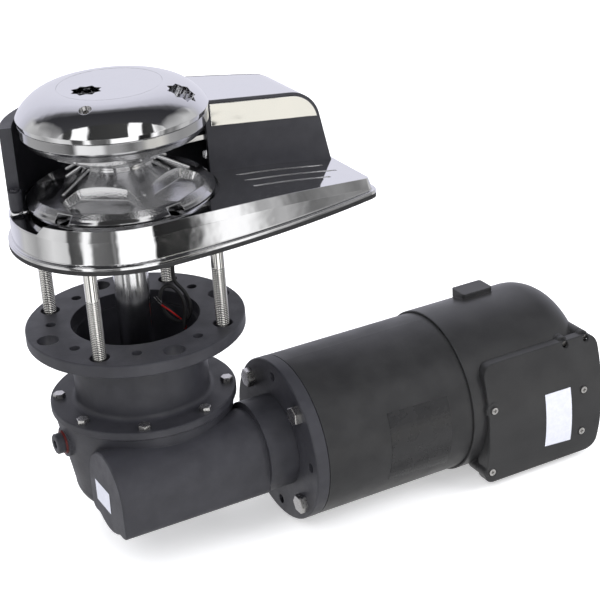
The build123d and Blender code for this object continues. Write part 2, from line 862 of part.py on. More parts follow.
def rope_ribs(flip, lean):
    """Raised ribs on the bowl: one long rib per ridge and a short one on each side of every pocket."""
    step = 360 / pocket_count
    with BuildPart() as ribs:
        for i in range(pocket_count):
            middle = pocket_deg + i * step
            for deg, end_r_rib in ((middle + step / 2, rope_rib_long_r),
                                   (middle - rope_rib_step_deg, rope_rib_short_r),
                                   (middle + rope_rib_step_deg, rope_rib_short_r)):
                rib_r = (neck_r - 1 + end_r_rib) / 2
                rib_z = flip(neck_z - (rib_r - neck_r) * math.tan(math.radians(cone_tilt)))
                seat = radial_plane(rib_r, deg, rib_z, lean if lean > 0 else 180 + lean)
                with BuildSketch(seat.offset(-1)):
                    SlotOverall((end_r_rib - neck_r + 1) / math.cos(math.radians(cone_tilt)), rope_rib_w,
                                rotation=90)
                extrude(amount=rope_rib_h + 1)
    return ribs.part


def same_z(z):
    """Height in the lower bowl."""
    return z


def mirror_z(z):
    """Height in the upper bowl, mirrored about the middle of the groove."""
    return 2 * groove_mid_z - z


with BuildPart() as screw_cutter:
    with BuildSketch(Plane.XY.offset(hub_low_z)):
        with PolarLocations(gypsy_screw_circle_r, pocket_count, start_angle=pocket_deg):
            Circle(gypsy_screw_r)
    extrude(amount=2 * hub_half)

with BuildPart() as gypsy_screws:
    with BuildSketch(Plane.XY.offset(hub_low_z + 1)):
        with PolarLocations(gypsy_screw_circle_r, pocket_count, start_angle=pocket_deg):
            Circle(gypsy_screw_r)
    extrude(amount=2 * hub_half - 2)
    with BuildSketch(Plane.XY.offset(groove_mid_z + hub_half - 1)):
        with PolarLocations(gypsy_screw_circle_r, pocket_count, start_angle=pocket_deg):
            RegularPolygon(1.5, 6, major_radius=False)
    extrude(amount=-3, mode=Mode.SUBTRACT)
save(gypsy_screws, "gypsy_screws")

with BuildPart() as gypsy_lower:
    add(ring_about_z(bowl_outline(same_z) + [
        (gypsy_rim_r, rim_edge_z), (gypsy_rim_r, rim_edge_z - 2), (gypsy_rim_r - 1.5, gypsy_bottom_z),
        (socket_mouth_r, gypsy_bottom_z), (socket_tip_r, cone_tip_z), (socket_tip_r, hub_low_z)]))
    add(rope_ribs(same_z, cone_tilt))
    add(pocket_cutter(same_z, cone_tilt), mode=Mode.SUBTRACT)
    for i in range(pocket_count):
        slot_deg = pocket_deg + slot_offset_deg + i * 360 / pocket_count
        slot = Plane.XY.offset(gypsy_bottom_z - 1).rotated((0, 0, slot_deg))
        with BuildSketch(slot):
            with Locations(((slot_r + gypsy_rim_r) / 2 + 2, 0)):
                SlotOverall(gypsy_rim_r - slot_r + 20, slot_w)
        extrude(amount=slot_top_z - gypsy_bottom_z + 1, mode=Mode.SUBTRACT)
    add(screw_cutter.part, mode=Mode.SUBTRACT)
save(gypsy_lower, "gypsy_lower")

with BuildPart() as gypsy_upper:
    add(ring_about_z(bowl_outline(mirror_z) + [
        (upper_rim_r, mirror_z(rim_edge_z) + 1.5), (upper_rim_r, gypsy_top_z),
        (upper_rim_r - upper_rim_wall, gypsy_top_z),
        (upper_rim_r - upper_rim_wall, upper_web_z), (socket_mouth_r, upper_web_z),
        (socket_tip_r, mirror_z(cone_tip_z)), (socket_tip_r, mirror_z(hub_low_z))]))
    add(rope_ribs(mirror_z, -cone_tilt))
    add(pocket_cutter(mirror_z, -cone_tilt), mode=Mode.SUBTRACT)
    add(screw_cutter.part, mode=Mode.SUBTRACT)
save(gypsy_upper, "gypsy_upper")

# Drum cap: domed casting screwed on the shaft, closed by a disc
dome_centre_r = 46.07
dome_centre_z = 91.94
dome_arc_r = 42.86


def dome_height(r, arc_r):
    """Height of the dome's arc at a distance from the shaft axis."""
    return dome_centre_z + math.sqrt(arc_r ** 2 - (r - dome_centre_r) ** 2)


def dome_section(skin):
    """Section of the dome's outer shape, drawn inward by a skin thickness."""
    arc_r = dome_arc_r - skin
    foot_r = dome_centre_r + math.sqrt(arc_r ** 2 - (cap_edge_z - dome_centre_z) ** 2)
    with BuildSketch(Plane.XZ) as section:
        with BuildLine():
            Polyline((disc_r, dome_height(disc_r, arc_r)), (0, dome_height(disc_r, arc_r)), (0, cap_bottom_z),
                     (foot_r - 1, cap_bottom_z), (foot_r, cap_edge_z))
            ThreePointArc((foot_r, cap_edge_z), (dome_r, dome_height(dome_r, arc_r)),
                          (disc_r, dome_height(disc_r, arc_r)))
        make_face()
    return section.sketch


disc_plane = Plane.XY.offset(disc_z)
side_socket_plane = radial_plane(side_socket_r, side_socket_deg, side_socket_z, side_socket_tilt)
pin_socket_plane = radial_plane(pin_socket_r, pin_socket_deg, pin_socket_z, pin_socket_tilt)
disc_socket_x, disc_socket_y = polar(disc_socket_r, disc_socket_deg)

room_points = [
    (cap_core_r, cap_bottom_z - 1), (cap_room_r, cap_bottom_z - 1), (cap_room_r, cap_room_side_z),
    (cap_room_shoulder_r, cap_room_shoulder_z), (cap_room_top_r, cap_room_top_z),
    (cap_core_r, cap_room_top_z)]

with BuildPart() as cap_sockets:
    with BuildSketch(disc_plane.offset(1)):
        with Locations((disc_socket_x, disc_socket_y)):
            Rectangle(socket_size, socket_size)
            Rectangle(socket_size, socket_size, rotation=45)
    extrude(amount=-socket_depth - 1)
    with BuildSketch(side_socket_plane.offset(5)):
        Rectangle(socket_size, socket_size)
        Rectangle(socket_size, socket_size, rotation=45)
    extrude(amount=-side_socket_depth - 5)
    with BuildSketch(pin_socket_plane.offset(4)):
        Circle(pin_socket_size / math.sqrt(2))
    extrude(amount=-pin_socket_depth - 4)

with BuildPart() as socket_bosses:
    with BuildSketch(side_socket_plane):
        Circle(socket_size / math.sqrt(2) + boss_wall)
    extrude(amount=-side_socket_depth - boss_wall)
    with BuildSketch(pin_socket_plane):
        Circle(pin_socket_size / math.sqrt(2) + boss_wall)
    extrude(amount=-pin_socket_depth - boss_wall - 6)
    revolve(dome_section(1.0), axis=Axis.Z, mode=Mode.INTERSECT)
    with Locations((0, 0, cap_core_z - 50)):
        Box(300, 300, 100, mode=Mode.SUBTRACT)

with BuildPart() as cap_dome:
    revolve(dome_section(0), axis=Axis.Z)
    add(ring_about_z(room_points), mode=Mode.SUBTRACT)
    add(socket_bosses.part)
    add(ring_about_z([
        (0, cap_bottom_z - 1), (cap_core_r, cap_bottom_z - 1), (cap_core_r, cap_core_z), (0, cap_core_z)]),
        mode=Mode.SUBTRACT)
    add(ring_about_z([(0, cap_hub_z), (cap_hub_r, cap_hub_z), (cap_hub_r, cap_core_z), (0, cap_core_z)]))
    add(ring_about_z([(0, cap_hub_z), (shaft_thread_r + run_gap, cap_hub_z),
                      (shaft_thread_r + run_gap, cap_bore_z),
                      (0, cap_bore_z)]), mode=Mode.SUBTRACT)
    add(ring_about_z([(0, disc_z - disc_t), (disc_r, disc_z - disc_t), (disc_r, disc_z + 1),
                      (0, disc_z + 1)]),
        mode=Mode.SUBTRACT)
    add(cap_sockets.part, mode=Mode.SUBTRACT)
save(cap_dome, "cap_dome")

with BuildPart() as cap_disc:
    with BuildSketch(disc_plane.offset(-disc_t)):
        Circle(disc_r)
    extrude(amount=disc_t)
    chamfer(cap_disc.faces().sort_by(Axis.Z)[-1].edges(), 0.4)
    add(cap_sockets.part, mode=Mode.SUBTRACT)
save(cap_disc, "cap_disc")

with BuildPart() as cap_set_screw:
    with BuildSketch(pin_socket_plane.offset(-2.5)):
        Circle(pin_socket_size / math.sqrt(2))
        RegularPolygon(2.5, 6, major_radius=False, mode=Mode.SUBTRACT)
    extrude(amount=-4)
    with BuildSketch(pin_socket_plane.offset(-6.5)):
        Circle(pin_socket_size / math.sqrt(2))
    extrude(amount=-(pin_socket_depth - 6.5))
save(cap_set_screw, "cap_set_screw")

motor_plane = Plane(origin=(0, worm_y, worm_z), x_dir=(1, 0, 0), z_dir=(0, -1, 0))
motor_axis = Axis((0, worm_y, worm_z), (1, 0, 0))


def ring_about_motor(points):
    """Solid turned about the motor axis from (distance along X, radius) points."""
    with BuildPart() as solid:
        with BuildSketch(motor_plane):
            with BuildLine():
                Polyline(*points, close=True)
            make_face()
        revolve(axis=motor_axis)
    return solid.part


def motor_face(x):
    """Plane across the motor axis, looking along +X."""
    return Plane(origin=(x, worm_y, worm_z), x_dir=(0, 1, 0), z_dir=(1, 0, 0))


# Gearbox cover: deck flange, necked body, and the plate that closes the gear case
flange_low_z = flange_z - flange_t
plate_low_z = plate_z - plate_t
with BuildPart() as gear_cover:
    with BuildSketch(Plane.XZ) as cover_half:
        with BuildLine():
            Polyline(
                (flange_bore_r, flange_z), (flange_r, flange_z), (flange_r, flange_low_z),
                (neck_out_r, flange_low_z),
                (neck_out_r, plate_z), (plate_r, plate_z), (plate_r, plate_low_z), (bearing_r, plate_low_z),
                (bearing_r, upper_bearing_top), (seal_r, upper_bearing_top), (seal_r, neck_floor_z),
                (neck_in_r, neck_floor_z), (neck_in_r, flange_low_z), (flange_bore_r, flange_low_z),
                close=True)
        make_face()
        root = [v for v in cover_half.vertices() if abs(v.X - neck_out_r) < 0.1]
        fillet(root, neck_fillet)
        rims = [v for v in cover_half.vertices() if v.X > plate_r - 0.1]
        chamfer(rims, 1.0)
    revolve(axis=Axis.Z)
    with BuildSketch(Plane.XY.offset(flange_z)):
        with PolarLocations(stud_circle_r, stud_count, start_angle=45):
            Circle(stud_hole_r)
        with PolarLocations(big_hole_circle_r, 4):
            Circle(big_hole_r)
        with PolarLocations(small_hole_circle_r, 8, start_angle=22.5):
            Circle(small_hole_r)
    extrude(amount=-flange_t, mode=Mode.SUBTRACT)
    with BuildSketch(Plane.XY.offset(plate_z)):
        with PolarLocations(cover_bolt_circle_r, cover_bolt_count, start_angle=cover_bolt_deg):
            Circle(cover_bolt_r)
    extrude(amount=-plate_t, mode=Mode.SUBTRACT)
save(gear_cover, "gear_cover")

with BuildPart() as cover_bolts:
    with BuildSketch(Plane.XY.offset(plate_z)):
        with PolarLocations(cover_bolt_circle_r, cover_bolt_count, start_angle=cover_bolt_deg):
            RegularPolygon(cover_bolt_head / 2, 6, major_radius=False)
    extrude(amount=cover_bolt_head_t)
    chamfer(cover_bolts.faces().filter_by(lambda f: f.normal_at().Z > 0.9).edges(), 0.5)
    with BuildSketch(Plane.XY.offset(plate_z)):
        with PolarLocations(cover_bolt_circle_r, cover_bolt_count, start_angle=cover_bolt_deg):
            Circle(cover_bolt_r)
    extrude(amount=-cover_bolt_len)
save(cover_bolts, "cover_bolts")

# Gear case: tapered housing of the worm wheel, tunnel of the worm and hub of the motor
with BuildPart() as case_body:
    with BuildSketch(Plane.XZ) as case_half:
        with BuildLine():
            Polyline((0, plate_low_z), (case_top_r, plate_low_z), (case_low_r, case_low_z),
                     (case_low_r, case_bottom_z), (0, case_bottom_z), close=True)
        make_face()
        fillet(case_half.vertices().sort_by_distance((case_low_r, case_bottom_z, 0))[0], case_round)
    revolve(axis=Axis.Z)

with BuildPart() as tunnel_body:
    with BuildSketch(motor_face(tunnel_x0)):
        Circle(tunnel_r)
        with Locations((0, -tunnel_foot / 2)):
            Rectangle(2 * tunnel_r, tunnel_foot)
    extrude(amount=hub_x - tunnel_x0)
    foot = [e for e in tunnel_body.edges().filter_by(Axis.X) if e.center().Z < worm_z - tunnel_foot + 1]
    fillet(foot, 8)
    chamfer(tunnel_body.faces().sort_by(Axis.X)[0].edges(), 1.2)

with BuildPart() as gear_case:
    add(case_body.part)
    add(tunnel_body.part)
    with BuildSketch(motor_face(hub_x)):
        Circle(hub_out_r)
    extrude(amount=flange_x - hub_x)
    with BuildSketch(Plane.YZ.offset(plug_boss_x)):
        with Locations((0, plug_z)):
            Circle(plug_boss_r)
    extrude(amount=14)
    # wheel room and lower bearing seat
    add(ring_about_z([
        (0, plate_low_z), (wheel_room_r, plate_low_z), (wheel_room_r, wheel_room_floor_z),
        (tail_bearing_r, wheel_room_floor_z), (tail_bearing_r, wheel_room_floor_z - tail_bearing_t),
        (0, wheel_room_floor_z - tail_bearing_t)]), mode=Mode.SUBTRACT)
    # worm bore, open toward the motor
    with BuildSketch(motor_face(worm_bearing_x0)):
        Circle(worm_bearing_r)
    extrude(amount=flange_x - worm_bearing_x0, mode=Mode.SUBTRACT)
    with BuildSketch(Plane.YZ.offset(plug_boss_x)):
        with Locations((0, plug_z)):
            Circle(plug_r)
    extrude(amount=30, mode=Mode.SUBTRACT)
    with BuildSketch(Plane.XY.offset(plate_low_z)):
        with PolarLocations(cover_bolt_circle_r, cover_bolt_count, start_angle=cover_bolt_deg):
            Circle(cover_bolt_r)
    extrude(amount=-(cover_bolt_len - plate_t), mode=Mode.SUBTRACT)
    with BuildSketch(motor_face(flange_x)):
        with PolarLocations(inner_screw_circle_r, 4, start_angle=45):
            Circle(inner_screw_r)
    extrude(amount=-inner_screw_len, mode=Mode.SUBTRACT)
save(gear_case, "gear_case")

with BuildPart() as oil_plug:
    with BuildSketch(Plane.YZ.offset(plug_boss_x - plug_washer_t)):
        with Locations((0, plug_z)):
            Circle(plug_head_r)
    extrude(amount=-plug_head_t)
    chamfer(oil_plug.faces().sort_by(Axis.X)[0].edges(), 1.0)
    with BuildSketch(Plane.YZ.offset(plug_boss_x - plug_washer_t - plug_head_t)):
        with Locations((0, plug_z)):
            RegularPolygon(4, 6, major_radius=False)
    extrude(amount=5, mode=Mode.SUBTRACT)
    with BuildSketch(Plane.YZ.offset(plug_boss_x - plug_washer_t)):
        with Locations((0, plug_z)):
            Circle(plug_r)
    extrude(amount=16)
save(oil_plug, "oil_plug")

with BuildPart() as plug_washer:
    with BuildSketch(Plane.YZ.offset(plug_boss_x)):
        with Locations((0, plug_z)):
            Circle(plug_washer_r)
            Circle(plug_r, mode=Mode.SUBTRACT)
    extrude(amount=-plug_washer_t)
save(plug_washer, "plug_washer")


def bearing_about_z(inner_r, outer_r, top, height):
    """Ball bearing with its two rings joined by a recessed shield."""
    band = (outer_r - inner_r) * 0.28
    return ring_about_z([
        (inner_r, top), (inner_r + band, top), (inner_r + band, top - 1), (outer_r - band, top - 1),
        (outer_r - band, top), (outer_r, top), (outer_r, top - height), (outer_r - band, top - height),
        (outer_r - band, top - height + 1), (inner_r + band, top - height + 1),
        (inner_r + band, top - height),
        (inner_r, top - height)])


def bearing_about_motor(inner_r, outer_r, x, width):
    """Ball bearing on the motor axis with a recessed shield on each side."""
    band = (outer_r - inner_r) * 0.28
    return ring_about_motor([
        (x, inner_r), (x, inner_r + band), (x + 1, inner_r + band), (x + 1, outer_r - band),
        (x, outer_r - band), (x, outer_r), (x + width, outer_r), (x + width, outer_r - band),
        (x + width - 1, outer_r - band), (x + width - 1, inner_r + band), (x + width, inner_r + band),
        (x + width, inner_r)])


with BuildPart() as upper_bearing:
    add(bearing_about_z(shaft_r + run_gap, bearing_r, upper_bearing_top, bearing_t))
save(upper_bearing, "upper_bearing")

with BuildPart() as shaft_seal:
    add(ring_about_z([
        (shaft_r + run_gap, neck_floor_z), (seal_r, neck_floor_z), (seal_r, upper_bearing_top + part_gap),
        (seal_r - 4, upper_bearing_top + part_gap), (seal_r - 4, neck_floor_z - 2.5),
        (shaft_r + 2, neck_floor_z - 2.5), (shaft_r + 2, upper_bearing_top + 1),
        (shaft_r + run_gap, upper_bearing_top + 1)]))
save(shaft_seal, "shaft_seal")

with BuildPart() as lower_bearing:
    add(bearing_about_z(shaft_tail_r + run_gap, tail_bearing_r, wheel_room_floor_z, tail_bearing_t))
save(lower_bearing, "lower_bearing")

with BuildPart() as worm_bearing_left:
    add(bearing_about_motor(worm_shaft_r + run_gap, worm_bearing_r, worm_bearing_x0, worm_bearing_t))
save(worm_bearing_left, "worm_bearing_left")

with BuildPart() as worm_bearing_right:
    add(bearing_about_motor(worm_shaft_r + run_gap, worm_bearing_r, worm_bearing_x1, worm_bearing_t))
save(worm_bearing_right, "worm_bearing_right")

worm_seal_x = worm_bearing_x1 + worm_bearing_t
with BuildPart() as worm_seal:
    add(ring_about_motor([
        (worm_seal_x, worm_bearing_r), (worm_seal_x + seal_t, worm_bearing_r),
        (worm_seal_x + seal_t, coupling_bore),
        (worm_seal_x + 2, coupling_bore), (worm_seal_x + 2, worm_bearing_r - 4),
        (worm_seal_x, worm_bearing_r - 4)]))
save(worm_seal, "worm_seal")

# Worm wheel: straight-flanked teeth leaning with the worm's lead
wheel_pitch_r = wheel_teeth * gear_module / 2
worm_pitch_r = -worm_y - wheel_pitch_r
lead = math.pi * gear_module
lean = math.atan(lead / (2 * math.pi * worm_pitch_r))
wheel_out_r = wheel_pitch_r + wheel_addendum
wheel_root_r = wheel_pitch_r - wheel_dedendum
thread_half = lead / 4 - worm_thread_thin / 2
space_half = lead / 4
with BuildPart() as tooth_space:
    space_plane = Plane(origin=(0, 0, worm_z), x_dir=(math.cos(lean), 0, -math.sin(lean)),
                        z_dir=(math.sin(lean), 0, math.cos(lean)))
    low_half = space_half - (wheel_pitch_r - wheel_root_r) * math.tan(math.radians(thread_angle))
    high_half = space_half + (wheel_out_r + 1 - wheel_pitch_r) * math.tan(math.radians(space_angle))
    with BuildSketch(space_plane):
        with BuildLine():
            Polyline((-low_half, -wheel_root_r), (low_half, -wheel_root_r), (space_half, -wheel_pitch_r),
                     (high_half, -wheel_out_r - 1), (-high_half, -wheel_out_r - 1),
                     (-space_half, -wheel_pitch_r), close=True)
        make_face()
    extrude(amount=wheel_w, both=True)

wheel_top_z = worm_z + wheel_w / 2
wheel_hub_top_z = worm_z + wheel_hub_t / 2
with BuildPart() as worm_wheel:
    add(ring_about_z([
        (shaft_r, wheel_hub_top_z), (wheel_hub_r, wheel_hub_top_z), (wheel_hub_r, worm_z + wheel_web_t / 2),
        (wheel_rim_in_r, worm_z + wheel_web_t / 2), (wheel_rim_in_r, wheel_top_z), (wheel_out_r, wheel_top_z),
        (wheel_out_r, wheel_top_z - wheel_w), (wheel_rim_in_r, wheel_top_z - wheel_w),
        (wheel_rim_in_r, worm_z - wheel_web_t / 2), (wheel_hub_r, worm_z - wheel_web_t / 2),
        (wheel_hub_r, wheel_hub_top_z - wheel_hub_t), (shaft_r, wheel_hub_top_z - wheel_hub_t)]))
    with PolarLocations(0, wheel_teeth):
        add(tooth_space.part, mode=Mode.SUBTRACT)
    with Locations((shaft_r, 0, worm_z)):
        Box(2 * key_stand, key_w, wheel_hub_t + 2, mode=Mode.SUBTRACT)
save(worm_wheel, "worm_wheel")

with BuildPart() as wheel_key:
    with Locations((shaft_r + (key_stand - key_depth) / 2, 0, worm_z)):
        Box(key_stand + key_depth, key_w, wheel_hub_t - 4)
save(wheel_key, "wheel_key")

# Worm: one true helical thread on a shaft along the motor axis
worm_out_r = worm_pitch_r + worm_addendum
worm_root_r = worm_pitch_r - worm_dedendum
thread_turns = int(worm_len / lead)
thread_sink = 0.4
with BuildPart() as worm_thread:
    base_half = thread_half + (worm_dedendum + thread_sink) * math.tan(math.radians(thread_angle))
    tip_half = thread_half - worm_addendum * math.tan(math.radians(thread_angle))
    start_z = -thread_turns * lead / 2 - lead / 4
    with BuildLine() as thread_path:
        Helix(lead, thread_turns * lead, worm_pitch_r, center=(0, 0, start_z))
    with BuildSketch(Plane(origin=(0, 0, start_z), x_dir=(1, 0, 0), z_dir=(0, -1, 0))):
        with BuildLine():
            Polyline((worm_root_r - thread_sink, -base_half), (worm_out_r, -tip_half), (worm_out_r, tip_half),
                     (worm_root_r - thread_sink, base_half), close=True)
        make_face()
    sweep(path=thread_path.wires()[0], is_frenet=True)

with BuildPart() as worm_shaft:
    with Locations(Location((0, worm_y, worm_z), (0, 90, 0))):
        add(worm_thread.part)
    add(ring_about_motor([
        (worm_bearing_x0 + 1, 0), (worm_bearing_x0 + 1, worm_shaft_r), (-worm_len / 2 - 6, worm_shaft_r),
        (-worm_len / 2 - 6, worm_root_r), (worm_len / 2 + 6, worm_root_r), (worm_len / 2 + 6, worm_shaft_r),
        (worm_end_x, worm_shaft_r), (worm_end_x, 0)]))
save(worm_shaft, "worm_shaft")

# Adaptor flange between gear case and motor
tube_x = flange_x + adaptor_t
with BuildPart() as motor_flange:
    with BuildSketch(motor_face(flange_x)):
        Circle(adaptor_r)
        Circle(adaptor_bore_r, mode=Mode.SUBTRACT)
        with PolarLocations(motor_bolt_circle_r, 4, start_angle=45):
            Circle(motor_bolt_r, mode=Mode.SUBTRACT)
        with PolarLocations(motor_bolt_circle_r, 4):
            Circle(spare_hole_r, mode=Mode.SUBTRACT)
        with PolarLocations(inner_screw_circle_r, 4, start_angle=45):
            Circle(inner_screw_r, mode=Mode.SUBTRACT)
    extrude(amount=adaptor_t)
    rims = motor_flange.edges().filter_by(GeomType.CIRCLE).filter_by(lambda e: abs(e.radius - adaptor_r) < 0.01)
    chamfer(rims, 1.0)
    with BuildSketch(motor_face(tube_x)):
        with PolarLocations(inner_screw_circle_r, 4, start_angle=45):
            Circle(inner_screw_head_r)
    extrude(amount=-inner_screw_head_t, mode=Mode.SUBTRACT)
save(motor_flange, "motor_flange")

with BuildPart() as flange_screws:
    with BuildSketch(motor_face(tube_x - inner_screw_head_t)):
        with PolarLocations(inner_screw_circle_r, 4, start_angle=45):
            Circle(inner_screw_head_r)
            RegularPolygon(2.5, 6, major_radius=False, mode=Mode.SUBTRACT)
    extrude(amount=inner_screw_head_t - 0.5)
    with BuildSketch(motor_face(tube_x - inner_screw_head_t)):
        with PolarLocations(inner_screw_circle_r, 4, start_angle=45):
            Circle(inner_screw_head_r)
    extrude(amount=2)
    with BuildSketch(motor_face(tube_x - inner_screw_head_t)):
        with PolarLocations(inner_screw_circle_r, 4, start_angle=45):
            Circle(inner_screw_r)
    extrude(amount=-(adaptor_t - inner_screw_head_t + inner_screw_len - 1))
save(flange_screws, "flange_screws")

with BuildPart() as flange_bolts:
    with BuildSketch(motor_face(flange_x)):
        with PolarLocations(motor_bolt_circle_r, 4, start_angle=45):
            RegularPolygon(motor_bolt_head / 2, 6, major_radius=False, rotation=15)
    extrude(amount=-motor_bolt_head_t)
    chamfer(flange_bolts.faces().filter_by(lambda f: f.normal_at().X < -0.9).edges(), 0.7)
    with BuildSketch(motor_face(flange_x)):
        with PolarLocations(motor_bolt_circle_r, 4, start_angle=45):
            Circle(motor_bolt_r)
    extrude(amount=motor_bolt_len)
save(flange_bolts, "flange_bolts")

# Motor body: steel tube with its drive-end wall and bearing seat
front_wall = 15.0
with BuildPart() as motor_tube:
    add(ring_about_motor([
        (tube_x, motor_bore_r), (tube_x, tube_r), (tube_end_x, tube_r), (tube_end_x, tube_r - tube_wall),
        (tube_x + front_wall, tube_r - tube_wall), (tube_x + front_wall, motor_bearing_r),
        (tube_x + front_wall - motor_bearing_t, motor_bearing_r),
        (tube_x + front_wall - motor_bearing_t, motor_bore_r)]))
    with BuildSketch(motor_face(tube_x)):
        with PolarLocations(motor_bolt_circle_r, 4, start_angle=45):
            Circle(motor_bolt_r)
    extrude(amount=motor_bolt_len - adaptor_t, mode=Mode.SUBTRACT)
save(motor_tube, "motor_tube")

with BuildPart() as magnets:
    with BuildSketch(motor_face(magnet_x0)):
        for deg in (0, 90, 180, 270):
            with BuildLine():
                CenterArc((0, 0), tube_r - tube_wall, deg - magnet_deg / 2, magnet_deg)
                CenterArc((0, 0), tube_r - tube_wall - magnet_t, deg - magnet_deg / 2, magnet_deg)
                for edge_deg in (deg - magnet_deg / 2, deg + magnet_deg / 2):
                    Line(polar(tube_r - tube_wall - magnet_t, edge_deg), polar(tube_r - tube_wall, edge_deg))
            make_face()
    extrude(amount=magnet_x1 - magnet_x0)
save(magnets, "magnets")

with BuildPart() as motor_front_bearing:
    add(bearing_about_motor(worm_shaft_r + run_gap, motor_bearing_r, tube_x + front_wall - motor_bearing_t,
                            motor_bearing_t))
save(motor_front_bearing, "motor_front_bearing")

# Rear shield with the brush cage and the rear bearing seat
shield_x = tube_end_x - shield_t
with BuildPart() as rear_shield:
    add(ring_about_motor([
        (shield_x, brush_cage_r), (shield_x, tube_r - tube_wall), (tube_end_x, tube_r - tube_wall),
        (tube_end_x, motor_bearing_r + 5), (tube_end_x + shield_hub_t, motor_bearing_r + 4),
        (tube_end_x + shield_hub_t, motor_bore_r), (tube_end_x + shield_hub_t - 4, motor_bore_r),
        (tube_end_x + shield_hub_t - 4, motor_bearing_r), (shield_x, motor_bearing_r)]))
    add(ring_about_motor([
        (brush_cage_x, brush_cage_r), (brush_cage_x, brush_cage_r + brush_cage_t),
        (shield_x, brush_cage_r + brush_cage_t), (shield_x, brush_cage_r)]))
    with BuildSketch(motor_face(brush_x)):
        for deg in (45, 135, 225, 315):
            with Locations(Location(polar(brush_cage_r + brush_cage_t / 2, deg) + (0,), deg)):
                Rectangle(2 * brush_cage_t, brush_t)
    extrude(amount=brush_w, mode=Mode.SUBTRACT)
    with BuildSketch(motor_face(shield_x)):
        for deg in terminal_deg:
            with Locations(polar(terminal_circle_r, deg)):
                Circle(terminal_r)
    extrude(amount=shield_t, mode=Mode.SUBTRACT)
save(rear_shield, "rear_shield")

with BuildPart() as brushes:
    with BuildSketch(motor_face(brush_x)):
        for deg in (45, 135, 225, 315):
            with Locations(Location(polar(commutator_r + part_gap + brush_len / 2, deg) + (0,), deg)):
                Rectangle(brush_len, brush_t)
    extrude(amount=brush_w)
save(brushes, "brushes")

with BuildPart() as motor_rear_bearing:
    add(bearing_about_motor(worm_shaft_r + run_gap, motor_bearing_r,
                            tube_end_x + shield_hub_t - 4 - motor_bearing_t,
                            motor_bearing_t))
save(motor_rear_bearing, "motor_rear_bearing")

# Armature on its own shaft, joined to the worm by a sleeve coupling
with BuildPart() as armature_core:
    with BuildSketch(motor_face(core_x0)):
        Circle(core_r)
        for i in range(core_slots):
            with PolarLocations(core_r, 1, start_angle=i * 360 / core_slots):
                Rectangle(core_slot_depth * 2, core_slot_w, mode=Mode.SUBTRACT)
    extrude(amount=core_x1 - core_x0)
    add(ring_about_motor([(motor_shaft_x, 0), (motor_shaft_x, worm_shaft_r),
                          (motor_shaft_end_x, worm_shaft_r),
                          (motor_shaft_end_x, 0)]))
save(armature_core, "armature_core")

with BuildPart() as armature_windings:
    for x in (core_x0 - winding_t, core_x1):
        add(ring_about_motor([
            (x, winding_in_r), (x, winding_r), (x + winding_t, winding_r), (x + winding_t, winding_in_r)]))
    with BuildSketch(motor_face(core_x0)):
        for i in range(core_slots):
            with PolarLocations(core_r - core_slot_depth + winding_fill / 2, 1,
                                start_angle=i * 360 / core_slots):
                Rectangle(winding_fill, core_slot_w)
    extrude(amount=core_x1 - core_x0)
save(armature_windings, "armature_windings")

with BuildPart() as commutator:
    with BuildSketch(motor_face(commutator_x0)):
        Circle(commutator_r)
        Circle(worm_shaft_r, mode=Mode.SUBTRACT)
        with PolarLocations(commutator_r, core_slots):
            Rectangle(3, 0.8, mode=Mode.SUBTRACT)
    extrude(amount=commutator_x1 - commutator_x0)
    with BuildSketch(motor_face(core_x1 + winding_t)):
        Circle(commutator_r - 4)
        Circle(worm_shaft_r, mode=Mode.SUBTRACT)
    extrude(amount=commutator_x0 - core_x1 - winding_t)
save(commutator, "commutator")

with BuildPart() as drive_coupling:
    with BuildSketch(motor_face(coupling_x0)):
        Circle(coupling_r)
        Circle(worm_shaft_r, mode=Mode.SUBTRACT)
    extrude(amount=coupling_x1 - coupling_x0)
save(drive_coupling, "drive_coupling")


def lid_face_y(z):
    """Outer face of the bulged lid at a height."""
    half = (lid_top_z - box_bottom_z) / 2
    reach = half + lid_over
    bulge_r = (reach ** 2 + lid_crown ** 2) / (2 * lid_crown)
    return lid_edge_y - lid_crown + bulge_r - math.sqrt(bulge_r ** 2 - (z - box_bottom_z - half) ** 2)


def screw_seat_y(x, z):
    """Face that a lid screw's head sits on."""
    if x in boss_x:
        return box_seam_y - boss_lid_t
    return lid_face_y(z) + 1.0


def screw_end_y(x, z):
    """End of a lid screw: short over the motor tube, a full bite elsewhere."""
    if x < box_open_x and abs(z - worm_z) < tube_r / 2:
        return worm_y - math.sqrt(tube_r ** 2 - (z - worm_z) ** 2) - part_gap
    return box_seam_y + lid_screw_bite


lid_screw_spots = list(lid_face_screws)
for z in ear_z:
    lid_screw_spots.append((box_x, z))
for x in boss_x:
    lid_screw_spots.append((x, boss_z))
with BuildPart() as lid_screw_shanks:
    for x, z in lid_screw_spots:
        with BuildSketch(Plane.XZ.offset(-screw_seat_y(x, z))):
            with Locations((x, z)):
                Circle(lid_screw_r)
        extrude(amount=screw_seat_y(x, z) - screw_end_y(x, z))

